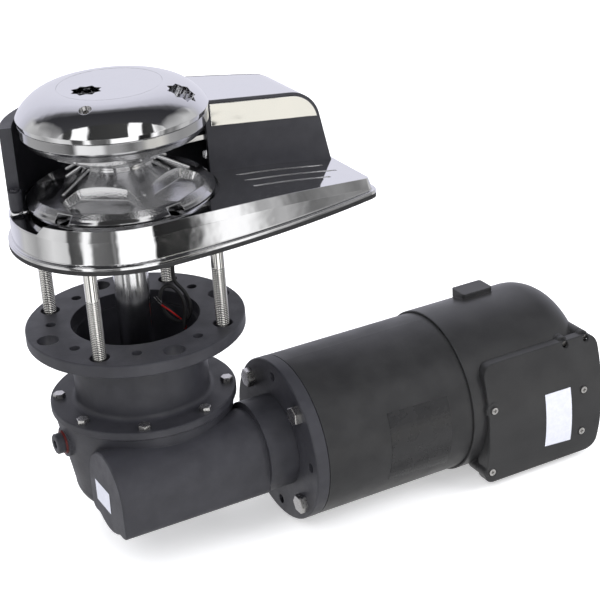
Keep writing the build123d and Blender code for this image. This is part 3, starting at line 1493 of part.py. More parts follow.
# Rear cover: round cap over the motor's end, blended into the terminal box
with BuildPart() as rear_cover:
    with BuildSketch(motor_face(cover_x)):
        Circle(cover_r)
    extrude(amount=cover_end_x - cover_x)
    fillet(rear_cover.faces().sort_by(Axis.X)[-1].edges(), cover_round)
    with BuildPart(mode=Mode.PRIVATE) as box_body:
        with BuildSketch(Plane.XZ.offset(-box_back_y)):
            with BuildLine():
                Polyline((box_x, box_bottom_z), (cover_end_x, box_bottom_z), (cover_end_x, box_top_z),
                         (box_x, box_top_z), close=True)
            make_face()
        extrude(amount=box_back_y - box_seam_y)
        fillet(box_body.edges().filter_by(Axis.Y), box_corner_r)
    add(box_body.part)
    with BuildPart(mode=Mode.PRIVATE) as tab_body:
        with Locations((tab_x, tab_y, (tab_top_z + worm_z) / 2)):
            Box(tab_len, tab_wid, tab_top_z - worm_z)
        fillet(tab_body.edges().filter_by(Axis.Z), 3)
    with BuildPart(mode=Mode.PRIVATE) as ear_body:
        with BuildSketch(Plane.XZ.offset(-box_seam_y)):
            for z in ear_z:
                with Locations((box_x, z)):
                    Circle(ear_r)
        extrude(amount=-14)
        with BuildSketch(Plane.XZ.offset(-box_seam_y)):
            for x in boss_x:
                with Locations((x, boss_z)):
                    Circle(boss_r)
        extrude(amount=-boss_len)
    add(ear_body.part)
    add(tab_body.part)
    # hollow inside the round part and the box
    with BuildSketch(motor_face(cover_x)):
        Circle(tube_r)
    extrude(amount=cover_end_x - cover_skin - 30 - cover_x, mode=Mode.SUBTRACT)
    with BuildPart(mode=Mode.PRIVATE) as end_room:
        with BuildSketch(motor_face(cover_x)):
            Circle(cover_r - cover_skin - 1)
        extrude(amount=cover_end_x - cover_skin - cover_x)
        fillet(end_room.faces().sort_by(Axis.X)[-1].edges(), cover_round - cover_skin)
    add(end_room.part, mode=Mode.SUBTRACT)
    with BuildPart(mode=Mode.PRIVATE) as box_room:
        with BuildSketch(Plane.XZ.offset(-box_back_y + cover_skin)):
            with BuildLine():
                Polyline(
                    (box_x + cover_skin, box_bottom_z + cover_skin),
                    (cover_end_x - cover_skin, box_bottom_z + cover_skin),
                    (cover_end_x - cover_skin, box_top_z - cover_skin),
                    (box_x + cover_skin, box_top_z - cover_skin), close=True)
            make_face()
        extrude(amount=box_back_y - box_seam_y)
        fillet(box_room.edges().filter_by(Axis.Y), box_corner_r - cover_skin)
    add(box_room.part, mode=Mode.SUBTRACT)
    with BuildSketch(motor_face(box_x - 20)):
        Circle(tube_r)
    extrude(amount=tube_end_x + 20 - box_x, mode=Mode.SUBTRACT)
    with BuildSketch(Plane.XY.offset(box_bottom_z)):
        with Locations((gland_x, gland_y)):
            Circle(gland_r - 3)
    extrude(amount=cover_skin, mode=Mode.SUBTRACT)
    # front of the box opens behind the motor's end, with two ribbed screw pillars
    with Locations((box_open_x + 50, box_seam_y - 20, worm_z)):
        Box(100, 40, 3 * cover_r, mode=Mode.SUBTRACT)
    for x, z in lid_face_screws:
        with BuildSketch(Plane.XZ.offset(-box_seam_y)):
            with Locations((x, z)):
                Circle(pillar_r)
            with Locations(((x + cover_end_x - 1) / 2, z)):
                Rectangle(cover_end_x - 1 - x, 3)
        extrude(amount=box_seam_y - pillar_back_y)
    add(lid_screw_shanks.part, mode=Mode.SUBTRACT)
save(rear_cover, "rear_cover")

# Terminal lid: gently bulged panel with ears
with BuildPart() as lid_bulge:
    with BuildSketch(Plane.YZ.offset(box_x - 40)):
        with BuildLine():
            Line((box_seam_y, box_bottom_z - lid_over), (box_seam_y, lid_top_z + lid_over))
            Line((box_seam_y, lid_top_z + lid_over), (lid_edge_y, lid_top_z + lid_over))
            ThreePointArc((lid_edge_y, lid_top_z + lid_over),
                          (lid_edge_y - lid_crown, (lid_top_z + box_bottom_z) / 2),
                          (lid_edge_y, box_bottom_z - lid_over))
            Line((lid_edge_y, box_bottom_z - lid_over), (box_seam_y, box_bottom_z - lid_over))
        make_face()
    extrude(amount=200)

with BuildPart() as lid_room:
    with BuildSketch(Plane.XZ.offset(-box_seam_y)) as room_face:
        with BuildLine():
            Polyline((lid_x + lid_wall, box_bottom_z + lid_wall),
                     (cover_end_x - lid_wall, box_bottom_z + lid_wall),
                     (cover_end_x - lid_wall, lid_top_z - lid_wall), (lid_x + lid_wall, lid_top_z - lid_wall),
                     close=True)
        make_face()
        fillet(room_face.vertices(), box_corner_r - lid_wall)
    extrude(amount=30)
    with Locations((0, lid_wall, 0)):
        add(lid_bulge.part, mode=Mode.INTERSECT)
    with BuildSketch(Plane.XZ.offset(-box_seam_y)):
        for x, z in lid_face_screws:
            with Locations((x, z)):
                Circle(pillar_r)
    extrude(amount=40, mode=Mode.SUBTRACT)

with BuildPart() as terminal_lid:
    with BuildSketch(Plane.XZ.offset(-box_seam_y)):
        with BuildSketch(mode=Mode.PRIVATE) as lid_face:
            with BuildLine():
                Polyline((lid_x, box_bottom_z), (cover_end_x, box_bottom_z), (cover_end_x, lid_top_z),
                         (lid_x, lid_top_z), close=True)
            make_face()
            fillet(lid_face.vertices(), box_corner_r)
        add(lid_face.sketch)
    extrude(amount=30)
    add(lid_bulge.part, mode=Mode.INTERSECT)
    add(lid_room.part, mode=Mode.SUBTRACT)
    with BuildSketch(motor_face(lid_x - 10)):
        Circle(cover_r + run_gap)
    extrude(amount=box_open_x - lid_x + 10, mode=Mode.SUBTRACT)
    for z in ear_z:
        with BuildSketch(Plane.XZ.offset(-box_seam_y)):
            with Locations((box_x, z)):
                Circle(ear_r)
        extrude(amount=box_seam_y - lid_face_y(z) - 0.5)
    with BuildSketch(Plane.XZ.offset(-box_seam_y)):
        for x in boss_x:
            with Locations((x, boss_z)):
                Circle(boss_r)
    extrude(amount=boss_lid_t)
    with BuildSketch(motor_face(lid_x - 10)):
        Circle(cover_r + run_gap)
    extrude(amount=box_open_x - lid_x + 10, mode=Mode.SUBTRACT)
    for x, z in lid_screw_spots:
        with BuildSketch(Plane.XZ.offset(-screw_seat_y(x, z))):
            with Locations((x, z)):
                Circle(lid_screw_head_r)
        extrude(amount=10, mode=Mode.SUBTRACT)
    add(lid_screw_shanks.part, mode=Mode.SUBTRACT)
save(terminal_lid, "terminal_lid")

with BuildPart() as lid_screws:
    for x, z in lid_screw_spots:
        with BuildSketch(Plane.XZ.offset(-screw_seat_y(x, z))):
            with Locations((x, z)):
                Circle(lid_screw_head_r)
        extrude(amount=lid_screw_head_t)
        with BuildSketch(Plane.XZ.offset(lid_screw_head_t - screw_seat_y(x, z))):
            with Locations((x, z)):
                Rectangle(4, 1)
                Rectangle(1, 4)
        extrude(amount=-1.4, mode=Mode.SUBTRACT)
    add(lid_screw_shanks.part)
save(lid_screws, "lid_screws")

with BuildPart() as cable_gland:
    with BuildSketch(Plane.XY.offset(box_bottom_z)):
        with Locations((gland_x, gland_y)):
            RegularPolygon(gland_r, 6)
            Circle(gland_r - 5, mode=Mode.SUBTRACT)
    extrude(amount=-gland_len)
    with BuildSketch(Plane.XY.offset(box_bottom_z)):
        with Locations((gland_x, gland_y)):
            Circle(gland_r - 3)
            Circle(gland_r - 5, mode=Mode.SUBTRACT)
    extrude(amount=cover_skin + 2)
save(cable_gland, "cable_gland")

with BuildPart() as terminal_studs:
    with BuildSketch(motor_face(tube_end_x - shield_t)):
        for deg in terminal_deg:
            with Locations(polar(terminal_circle_r, deg)):
                Circle(terminal_r)
    extrude(amount=shield_t + terminal_len)
    with BuildSketch(motor_face(tube_end_x)):
        for deg in terminal_deg:
            with Locations(polar(terminal_circle_r, deg)):
                RegularPolygon(6.5, 6, major_radius=False)
    extrude(amount=6)
save(terminal_studs, "terminal_studs")
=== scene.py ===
import math

import bmesh
import bpy
from mathutils import Matrix, Vector


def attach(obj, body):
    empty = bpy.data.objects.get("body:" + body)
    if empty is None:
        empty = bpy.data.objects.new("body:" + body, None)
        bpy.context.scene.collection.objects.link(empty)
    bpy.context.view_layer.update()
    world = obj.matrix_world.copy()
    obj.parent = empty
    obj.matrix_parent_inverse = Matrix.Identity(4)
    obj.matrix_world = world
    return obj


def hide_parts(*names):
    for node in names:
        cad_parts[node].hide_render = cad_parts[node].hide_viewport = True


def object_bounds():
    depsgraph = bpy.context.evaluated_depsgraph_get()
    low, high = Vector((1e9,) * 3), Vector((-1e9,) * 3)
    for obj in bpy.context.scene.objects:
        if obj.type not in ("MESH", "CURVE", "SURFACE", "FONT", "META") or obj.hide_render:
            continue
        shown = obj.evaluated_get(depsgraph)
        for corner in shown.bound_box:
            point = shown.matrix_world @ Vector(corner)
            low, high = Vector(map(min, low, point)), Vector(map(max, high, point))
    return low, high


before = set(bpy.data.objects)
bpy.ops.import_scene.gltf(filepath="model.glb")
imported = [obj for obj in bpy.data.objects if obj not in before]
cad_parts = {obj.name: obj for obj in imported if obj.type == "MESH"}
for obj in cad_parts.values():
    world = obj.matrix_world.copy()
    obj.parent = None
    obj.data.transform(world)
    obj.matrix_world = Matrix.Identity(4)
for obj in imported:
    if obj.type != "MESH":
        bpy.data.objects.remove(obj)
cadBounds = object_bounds()
print("frame loaded")


# camera, set from the photograph's own perspective
cameraSetup = {
    "place": (-0.49738, -1.30044, 0.55284),
    "right": (0.87521752, -0.4798492, -0.06114768),
    "up": (0.24901383, 0.33855627, 0.90739835),
    "lens": 100.65,
    "sensor": 36.0,
    "near": 0.05,
    "far": 40.0,
}


def makeCamera(setup):
    camData = bpy.data.cameras.new("photoCamera")
    camData.lens = setup["lens"]
    camData.sensor_width = setup["sensor"]
    camData.clip_start = setup["near"]
    camData.clip_end = setup["far"]
    cam = bpy.data.objects.new("photoCamera", camData)
    right = Vector(setup["right"]).normalized()
    up = Vector(setup["up"]).normalized()
    back = right.cross(up)
    turn = Matrix((right, up, back)).transposed().to_4x4()
    cam.matrix_world = Matrix.Translation(Vector(setup["place"])) @ turn
    bpy.context.scene.collection.objects.link(cam)
    bpy.context.scene.camera = cam
makeCamera(cameraSetup)
print("camera placed")


# the chain sensor's cable: a lead, a loose turn and a half, and a cut end with bare wires
cableSetup = {
    "diameter": 0.0036,
    "length": 0.232,
    "sides": 4,
    "steps": 8,
    "lead": [(0.0450, 0.0030, 0.0095), (0.0450, 0.0030, -0.0100), (0.0440, 0.0020, -0.0300),
             (0.0412, 0.0005, -0.0480), (0.0410, 0.0, -0.0600)],
    "loop": [(0.0440, -0.0020, -0.0650), (0.0484, -0.0040, -0.0710), (0.0514, -0.0055, -0.0790),
             (0.0525, -0.0065, -0.0870), (0.0510, -0.0070, -0.0945), (0.0465, -0.0070, -0.0995),
             (0.0392, -0.0060, -0.0995), (0.0315, -0.0055, -0.0935), (0.0256, -0.0050, -0.0845),
             (0.0235, -0.0050, -0.0755), (0.0241, -0.0052, -0.0675), (0.0274, -0.0056, -0.0617),
             (0.0326, -0.0062, -0.0603), (0.0380, -0.0075, -0.0643), (0.0426, -0.0090, -0.0717),
             (0.0451, -0.0100, -0.0800), (0.0449, -0.0105, -0.0893), (0.0436, -0.0105, -0.0980),
             (0.0425, -0.0102, -0.1045)],
}
def roundCurve(name, points, radius, sides, steps):
    curve = bpy.data.curves.new(name, "CURVE")
    curve.dimensions = "3D"
    curve.bevel_depth = radius
    curve.bevel_resolution = sides
    curve.use_fill_caps = True
    curve.resolution_u = steps
    spline = curve.splines.new("NURBS")
    spline.points.add(len(points) - 1)
    for spot, place in zip(spline.points, points):
        spot.co = (*place, 1.0)
    spline.order_u = 3
    spline.use_endpoint_u = True
    item = bpy.data.objects.new(name, curve)
    bpy.context.scene.collection.objects.link(item)
    return item


cable = roundCurve("sensorCable", cableSetup["lead"] + cableSetup["loop"], cableSetup["diameter"] / 2,
                   cableSetup["sides"], cableSetup["steps"])
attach(cable, "frame")
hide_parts("sensor_cable", "sensor_loop")
print("cable laid")


# studio: pale floor, soft boxes, and surroundings that only reflections see
studioSetup = {
    "floorZ": cadBounds[0][2] - 0.0004,
    "floorSize": 6.0,
    "floorColour": (0.90, 0.90, 0.91, 1.0),
    "floorGlow": 0.42,
    "backdrop": (1.0, 1.0, 1.0, 1.0),
    "fill": (0.95, 0.96, 1.0, 1.0),
    "fillStrength": 0.72,
    "frontAzimuth": -115.0,
    "waviness": 5.0,
    "cloudScale": 2.6,
    # tones round the low horizon, by degrees from the front of the studio
    "lowCards": [(-180, 0.62), (-120, 0.66), (-96, 0.40), (-74, 0.85), (-57, 0.70), (-54, 0.07), (-42, 0.11),
                 (-39, 1.25), (-32, 1.20), (-29, 0.17), (-8, 0.12), (-6, 0.30), (-4, 0.11), (-1, 1.30),
                 (34, 1.45), (36, 0.02), (53, 0.03), (55, 0.70), (58, 1.30), (62, 1.20), (66, 0.42), (69, 0.55),
                 (74, 0.15), (82, 0.30), (88, 0.20), (100, 0.60), (180, 0.62)],
    # tones just under the horizon, where the side trim looks
    "creamCards": [(-180, 0.60), (-112, 0.50), (-84, 0.42), (-62, 0.30), (-48, 0.14), (-42, 1.30), (-14, 1.20),
                   (-6, 0.45), (8, 0.40), (22, 0.16), (34, 0.40), (42, (0.88, 0.87, 0.82)),
                   (60, (0.92, 0.90, 0.84)), (72, 0.50), (90, 0.40), (180, 0.60)],
    # tones above the object toward the front, where the dome looks, from its left to its right
    "highCards": [(-1.25, 0.60), (-1.13, 0.42), (-1.09, 0.72), (-1.06, 0.60), (-1.04, 0.04), (-0.955, 0.05),
                  (-0.93, 1.3), (-0.63, 1.3), (-0.60, 0.04), (0.40, 0.06), (0.43, 1.3), (0.72, 1.3), (0.75, 0.04),
                  (0.94, 0.05), (0.97, 1.3), (1.03, 0.50), (1.10, 0.85), (1.18, 0.50), (1.25, 0.62)],
    # tones from straight behind the object (0) to straight above and on to the front (1)
    "skySweep": [(0.00, (0.82, 0.82, 0.92)), (0.12, (0.76, 0.76, 0.86)), (0.24, (0.55, 0.55, 0.62)),
                 (0.30, (0.12, 0.12, 0.13)), (0.36, (0.035, 0.035, 0.04)), (0.62, (0.05, 0.05, 0.055))],
    # where one set of tones gives way to the next: heights, and reaches forward and sideways
    "creamFrom": (-0.352, -0.345),
    "creamTo": (-0.14, -0.10),
    "capFrom": (0.40, 0.50),
    "cardsFrom": (0.235, 0.25),
    "cardsBeside": (0.66, 0.90),
    "cardsReach": 1.25,
    "rearFrom": (-0.45, -0.60),
    "rearHeight": (-0.60, -0.50),
}


def effectGroup(name, inputs, outputs):
    group = bpy.data.node_groups.new(name, "ShaderNodeTree")
    for label, kind, value in inputs:
        socket = group.interface.new_socket(name=label, in_out="INPUT", socket_type=kind)
        socket.default_value = value
    for label, kind in outputs:
        group.interface.new_socket(name=label, in_out="OUTPUT", socket_type=kind)
    return group, group.nodes.new("NodeGroupInput"), group.nodes.new("NodeGroupOutput")


def feed(tree, socket, value):
    if isinstance(value, (int, float)):
        socket.default_value = value
    else:
        tree.links.new(value, socket)


def mathNode(tree, operation, *values, clamp=False):
    node = tree.nodes.new("ShaderNodeMath")
    node.operation = operation
    node.use_clamp = clamp
    for slot, value in enumerate(values):
        feed(tree, node.inputs[slot], value)
    return node.outputs[0]


def rangeNode(tree, value, fromLow, fromHigh, toLow, toHigh):
    node = tree.nodes.new("ShaderNodeMapRange")
    for label, item in (("Value", value), ("From Min", fromLow), ("From Max", fromHigh),
                        ("To Min", toLow), ("To Max", toHigh)):
        feed(tree, node.inputs[label], item)
    return node.outputs["Result"]


def objectPlace(tree):
    return tree.nodes.new("ShaderNodeTexCoord").outputs["Object"]


def splitPlace(tree, place):
    node = tree.nodes.new("ShaderNodeSeparateXYZ")
    tree.links.new(place, node.inputs[0])
    return node.outputs


def noiseNode(tree, place, scale, detail, rough):
    node = tree.nodes.new("ShaderNodeTexNoise")
    tree.links.new(place, node.inputs["Vector"])
    feed(tree, node.inputs["Scale"], scale)
    node.inputs["Detail"].default_value = detail
    node.inputs["Roughness"].default_value = rough
    return node.outputs["Fac"]


def buildSmudges():
    group, source, sink = effectGroup(
        "handlingSmudges",
        [("Scale", "NodeSocketFloat", 20.0), ("Low", "NodeSocketFloat", 0.05), ("High", "NodeSocketFloat", 0.1)],
        [("Roughness", "NodeSocketFloat")])
    patches = noiseNode(group, objectPlace(group), source.outputs["Scale"], 4.0, 0.6)
    result = rangeNode(group, patches, 0.35, 0.7, source.outputs["Low"], source.outputs["High"])
    group.links.new(result, sink.inputs["Roughness"])
    return group


def buildGrain():
    group, source, sink = effectGroup(
        "castGrain",
        [("Scale", "NodeSocketFloat", 900.0), ("Coarse", "NodeSocketFloat", 0.3)],
        [("Height", "NodeSocketFloat")])
    place = objectPlace(group)
    fine = noiseNode(group, place, source.outputs["Scale"], 2.0, 0.6)
    wide = noiseNode(group, place, mathNode(group, "MULTIPLY", source.outputs["Scale"], 0.18), 3.0, 0.55)
    mix = mathNode(group, "MULTIPLY_ADD", wide, source.outputs["Coarse"], fine)
    group.links.new(mix, sink.inputs["Height"])
    return group


def buildThread():
    group, source, sink = effectGroup(
        "rolledThread",
        [("Pitch", "NodeSocketFloat", 0.00175), ("Start", "NodeSocketFloat", -0.03),
         ("End", "NodeSocketFloat", -0.2)],
        [("Height", "NodeSocketFloat"), ("Mask", "NodeSocketFloat")])
    z = splitPlace(group, objectPlace(group))["Z"]
    turns = mathNode(group, "DIVIDE", z, source.outputs["Pitch"])
    ridge = mathNode(group, "MULTIPLY", mathNode(group, "PINGPONG", turns, 0.5), 2.0)
    below = mathNode(group, "LESS_THAN", z, source.outputs["Start"])
    above = mathNode(group, "GREATER_THAN", z, source.outputs["End"])
    mask = mathNode(group, "MULTIPLY", below, above)
    group.links.new(mathNode(group, "MULTIPLY", ridge, mask), sink.inputs["Height"])
    group.links.new(mask, sink.inputs["Mask"])
    return group


def buildTurning():
    group, source, sink = effectGroup(
        "turningMarks", [("Pitch", "NodeSocketFloat", 0.0006)], [("Height", "NodeSocketFloat")])
    z = splitPlace(group, objectPlace(group))["Z"]
    node = group.nodes.new("ShaderNodeTexNoise")
    node.noise_dimensions = "1D"
    node.inputs["Scale"].default_value = 1.0
    node.inputs["Detail"].default_value = 2.0
    group.links.new(mathNode(group, "DIVIDE", z, source.outputs["Pitch"]), node.inputs["W"])
    group.links.new(node.outputs["Fac"], sink.inputs["Height"])
    return group


def buildBowlMask():
    group, source, sink = effectGroup(
        "bowlCasting",
        [("Inner", "NodeSocketFloat", 0.036), ("InnerSlope", "NodeSocketFloat", 400.0),
         ("Outer", "NodeSocketFloat", 0.0815), ("OuterSlope", "NodeSocketFloat", 700.0)],
        [("Mask", "NodeSocketFloat")])
    axes = splitPlace(group, objectPlace(group))
    radius = mathNode(group, "SQRT", mathNode(group, "ADD", mathNode(group, "POWER", axes["X"], 2.0),
                                              mathNode(group, "POWER", axes["Y"], 2.0)))
    inner = mathNode(group, "SUBTRACT", radius, source.outputs["Inner"])
    inner = mathNode(group, "MULTIPLY", inner, source.outputs["InnerSlope"], clamp=True)
    outer = mathNode(group, "SUBTRACT", source.outputs["Outer"], radius)
    outer = mathNode(group, "MULTIPLY", outer, source.outputs["OuterSlope"], clamp=True)
    group.links.new(mathNode(group, "MULTIPLY", inner, outer), sink.inputs["Mask"])
    return group


def buildSoftEdges():
    group, source, sink = effectGroup(
        "softEdges", [("Radius", "NodeSocketFloat", 0.0004)], [("Normal", "NodeSocketVector")])
    edge = group.nodes.new("ShaderNodeBevel")
    edge.samples = 4
    group.links.new(source.outputs["Radius"], edge.inputs["Radius"])
    group.links.new(edge.outputs["Normal"], sink.inputs["Normal"])
    return group


smudges = buildSmudges()
castGrain = buildGrain()
rolledThread = buildThread()
turningMarks = buildTurning()
bowlCasting = buildBowlMask()
softEdges = buildSoftEdges()


def placeGroup(tree, group, **values):
    node = tree.nodes.new("ShaderNodeGroup")
    node.node_tree = group
    for label, value in values.items():
        node.inputs[label].default_value = value
    return node


def newMaterial(name, colour, metallic, roughness):
    material = bpy.data.materials.new(name)
    material.use_nodes = True
    shader = material.node_tree.nodes["Principled BSDF"]
    shader.inputs["Base Color"].default_value = (*colour, 1.0)
    shader.inputs["Metallic"].default_value = metallic
    shader.inputs["Roughness"].default_value = roughness
    return material, material.node_tree, shader


def addBump(tree, shader, height, strength, distance, edge=None):
    bump = tree.nodes.new("ShaderNodeBump")
    bump.inputs["Strength"].default_value = strength
    bump.inputs["Distance"].default_value = distance
    tree.links.new(height, bump.inputs["Height"])
    tree.links.new(bump.outputs["Normal"], shader.inputs["Normal"])
    if edge:
        rounded = placeGroup(tree, softEdges, Radius=edge)
        tree.links.new(rounded.outputs["Normal"], bump.inputs["Normal"])


def colourRamp(tree, value, stops):
    ramp = tree.nodes.new("ShaderNodeValToRGB")
    for point, (spot, colour) in zip(ramp.color_ramp.elements, stops):
        point.color = (*colour, 1.0)
        point.position = spot
    tree.links.new(value, ramp.inputs["Fac"])
    return ramp.outputs["Color"]


# finishes: "tint" has two tones and a scale, "smudge" a scale and the least and most roughness,
# "grain" a scale, coarseness, bump strength and depth, "turned" a pitch, bump strength and depth,
# "edge" the radius that corners seem to have
finishSetup = {
    "mirrorChrome": {"colour": (0.80, 0.80, 0.81), "metallic": 1.0, "roughness": 0.05,
                     "smudge": (24.0, 0.035, 0.09), "grain": (38.0, 1.2, 0.4, 0.0006), "edge": 0.0007},
    "trimChrome": {"colour": (0.94, 0.93, 0.90), "metallic": 1.0, "roughness": 0.05,
                   "smudge": (30.0, 0.03, 0.08), "grain": (15.0, 1.6, 0.8, 0.0032), "edge": 0.0005},
    "shaftSteel": {"colour": (0.84, 0.84, 0.85), "metallic": 1.0, "roughness": 0.16,
                   "smudge": (40.0, 0.13, 0.20), "turned": (0.0005, 0.05, 0.0001)},
    "boltSteel": {"colour": (0.62, 0.61, 0.60), "metallic": 1.0, "roughness": 0.25,
                  "smudge": (180.0, 0.2, 0.38), "grain": (1500.0, 0.6, 0.15, 0.0001)},
    "bronzeCast": {"colour": (0.55, 0.36, 0.16), "metallic": 1.0, "roughness": 0.3,
                   "tint": ((0.50, 0.32, 0.14), (0.60, 0.40, 0.19), 90.0),
                   "smudge": (70.0, 0.24, 0.4), "turned": (0.0008, 0.15, 0.0002)},
    "powderBlack": {"colour": (0.030, 0.030, 0.036), "metallic": 0.0, "roughness": 0.48,
                    "tint": ((0.027, 0.027, 0.033), (0.036, 0.036, 0.043), 60.0),
                    "smudge": (50.0, 0.40, 0.52), "grain": (1300.0, 0.7, 0.28, 0.00025), "edge": 0.0012},
    "tubeBlack": {"colour": (0.020, 0.020, 0.021), "metallic": 0.0, "roughness": 0.46,
                  "tint": ((0.017, 0.017, 0.018), (0.024, 0.024, 0.025), 45.0),
                  "smudge": (35.0, 0.36, 0.47), "grain": (1100.0, 0.8, 0.22, 0.0002)},
    "mouldedBlack": {"colour": (0.022, 0.022, 0.023), "metallic": 0.0, "roughness": 0.36,
                     "tint": ((0.019, 0.019, 0.020), (0.026, 0.026, 0.027), 30.0),
                     "smudge": (28.0, 0.32, 0.42), "grain": (1700.0, 0.3, 0.16, 0.00015), "edge": 0.0025},
    "softRubber": {"colour": (0.016, 0.016, 0.017), "metallic": 0.0, "roughness": 0.6,
                   "tint": ((0.013, 0.013, 0.014), (0.022, 0.022, 0.023), 80.0),
                   "smudge": (60.0, 0.52, 0.68), "grain": (900.0, 0.5, 0.2, 0.0002)},
    "mouldedRed": {"colour": (0.5, 0.02, 0.02), "metallic": 0.0, "roughness": 0.4,
                   "tint": ((0.45, 0.018, 0.018), (0.575, 0.023, 0.023), 120.0), "smudge": (100.0, 0.33, 0.45)},
    "washerRed": {"colour": (0.10, 0.014, 0.012), "metallic": 0.0, "roughness": 0.4,
                  "tint": ((0.09, 0.0126, 0.0108), (0.115, 0.0161, 0.0138), 120.0),
                  "smudge": (100.0, 0.33, 0.45)},
    "labelPaper": {"colour": (0.60, 0.61, 0.68), "metallic": 0.0, "roughness": 0.45,
                   "tint": ((0.57, 0.58, 0.65), (0.63, 0.64, 0.71), 260.0), "smudge": (90.0, 0.38, 0.5)},
    "labelFilm": {"colour": (0.016, 0.016, 0.017), "metallic": 0.0, "roughness": 0.26,
                  "tint": ((0.014, 0.014, 0.015), (0.019, 0.019, 0.020), 60.0), "smudge": (60.0, 0.22, 0.32)},
}


def makeFinish(name, setup):
    material, tree, shader = newMaterial(name, setup["colour"], setup["metallic"], setup["roughness"])
    if "tint" in setup:
        first, second, scale = setup["tint"]
        patches = noiseNode(tree, objectPlace(tree), scale, 4.0, 0.6)
        tree.links.new(colourRamp(tree, patches, [(0.35, first), (0.68, second)]), shader.inputs["Base Color"])
    scale, low, high = setup["smudge"]
    rough = placeGroup(tree, smudges, Scale=scale, Low=low, High=high)
    tree.links.new(rough.outputs["Roughness"], shader.inputs["Roughness"])
    if "grain" in setup:
        scale, coarse, strength, depth = setup["grain"]
        grain = placeGroup(tree, castGrain, Scale=scale, Coarse=coarse)
        addBump(tree, shader, grain.outputs["Height"], strength, depth, setup.get("edge"))
    if "turned" in setup:
        pitch, strength, depth = setup["turned"]
        marks = placeGroup(tree, turningMarks, Pitch=pitch)
        addBump(tree, shader, marks.outputs["Height"], strength, depth)
    return material


# the gypsy halves: polished rims, cast grain inside the bowls
gypsySetup = {
    "colour": (0.62, 0.62, 0.63),
    "roughness": 0.12,
    "rimRoughness": 0.08,
    "castRoughness": 0.19,
    "grain": (620.0, 1.6),
    "bump": (0.30, 0.0004),
    "edge": 0.0012,
}


def castChrome(setup):
    material, tree, shader = newMaterial("castChrome", setup["colour"], 1.0, setup["roughness"])
    mask = placeGroup(tree, bowlCasting).outputs["Mask"]
    rough = rangeNode(tree, mask, 0.0, 1.0, setup["rimRoughness"], setup["castRoughness"])
    tree.links.new(rough, shader.inputs["Roughness"])
    scale, coarse = setup["grain"]
    grain = placeGroup(tree, castGrain, Scale=scale, Coarse=coarse)
    height = mathNode(tree, "MULTIPLY", grain.outputs["Height"], mask)
    addBump(tree, shader, height, *setup["bump"], edge=setup["edge"])
    return material


# the deck studs: plain shank above, thread below with painted shade darkening the grooves
studSetup = {
    "colour": (0.82, 0.81, 0.79),
    "roughness": 0.2,
    "pitch": 0.00175,
    "threadStart": -0.03,
    "threadEnd": -0.2,
    "shankRoughness": 0.10,
    "threadRoughness": 0.26,
    # base colours from thread root to crest: the dark root tone is painted shade in the grooves
    "grooveShadeTones": [(0.10, (0.22, 0.21, 0.20)), (0.38, (0.95, 0.94, 0.91))],
    "bump": (0.6, 0.0005),
}


def studSteel(setup):
    material, tree, shader = newMaterial("studSteel", setup["colour"], 1.0, setup["roughness"])
    thread = placeGroup(tree, rolledThread, Pitch=setup["pitch"], Start=setup["threadStart"], End=setup["threadEnd"])
    height, mask = thread.outputs["Height"], thread.outputs["Mask"]
    rough = rangeNode(tree, mask, 0.0, 1.0, setup["shankRoughness"], setup["threadRoughness"])
    tree.links.new(rough, shader.inputs["Roughness"])
    # painted shade: the thread grooves are darkened in the base colour, dark in the roots and light on the crests
    grooveShade = mathNode(tree, "MULTIPLY", mask, mathNode(tree, "SUBTRACT", 1.0, height))
    tone = colourRamp(tree, mathNode(tree, "SUBTRACT", 1.0, grooveShade), setup["grooveShadeTones"])
    tree.links.new(tone, shader.inputs["Base Color"])
    addBump(tree, shader, height, *setup["bump"])
    return material


finishes = {name: makeFinish(name, setup) for name, setup in finishSetup.items()}
finishes["castChrome"] = castChrome(gypsySetup)
finishes["studSteel"] = studSteel(studSetup)
print("finishes made")

# which finish each CAD node wears; the rest wear boltSteel
nodeFinishes = {
    "mirrorChrome": ["base", "housing_cover", "cap_dome", "cap_disc"],
    "trimChrome": ["side_trim"],
    "castChrome": ["gypsy_lower", "gypsy_upper"],
    "shaftSteel": ["main_shaft", "chain_stripper", "worm_shaft", "lower_clutch_cone", "upper_clutch_cone"],
    "studSteel": ["deck_studs"],
    "powderBlack": ["housing", "gear_cover", "gear_case", "motor_flange", "rear_shield", "oil_plug",
                    "housing_screws"],
    "tubeBlack": ["motor_tube"],
    "mouldedBlack": ["rear_cover", "terminal_lid", "cable_gland", "chain_sensor", "brushes"],
    "softRubber": ["deck_gasket", "base_seal", "shaft_seal", "worm_seal"],
    "washerRed": ["plug_washer"],
    "bronzeCast": ["base_bush", "worm_wheel", "armature_windings", "commutator"],
}


def dressNodes(table):
    chosen = {name: finish for finish, names in table.items() for name in names}
    for name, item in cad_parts.items():
        item.data.materials.clear()
        item.data.materials.append(finishes[chosen.get(name, "boltSteel")])


dressNodes(nodeFinishes)
cable.data.materials.append(finishes["softRubber"])
print("nodes dressed")


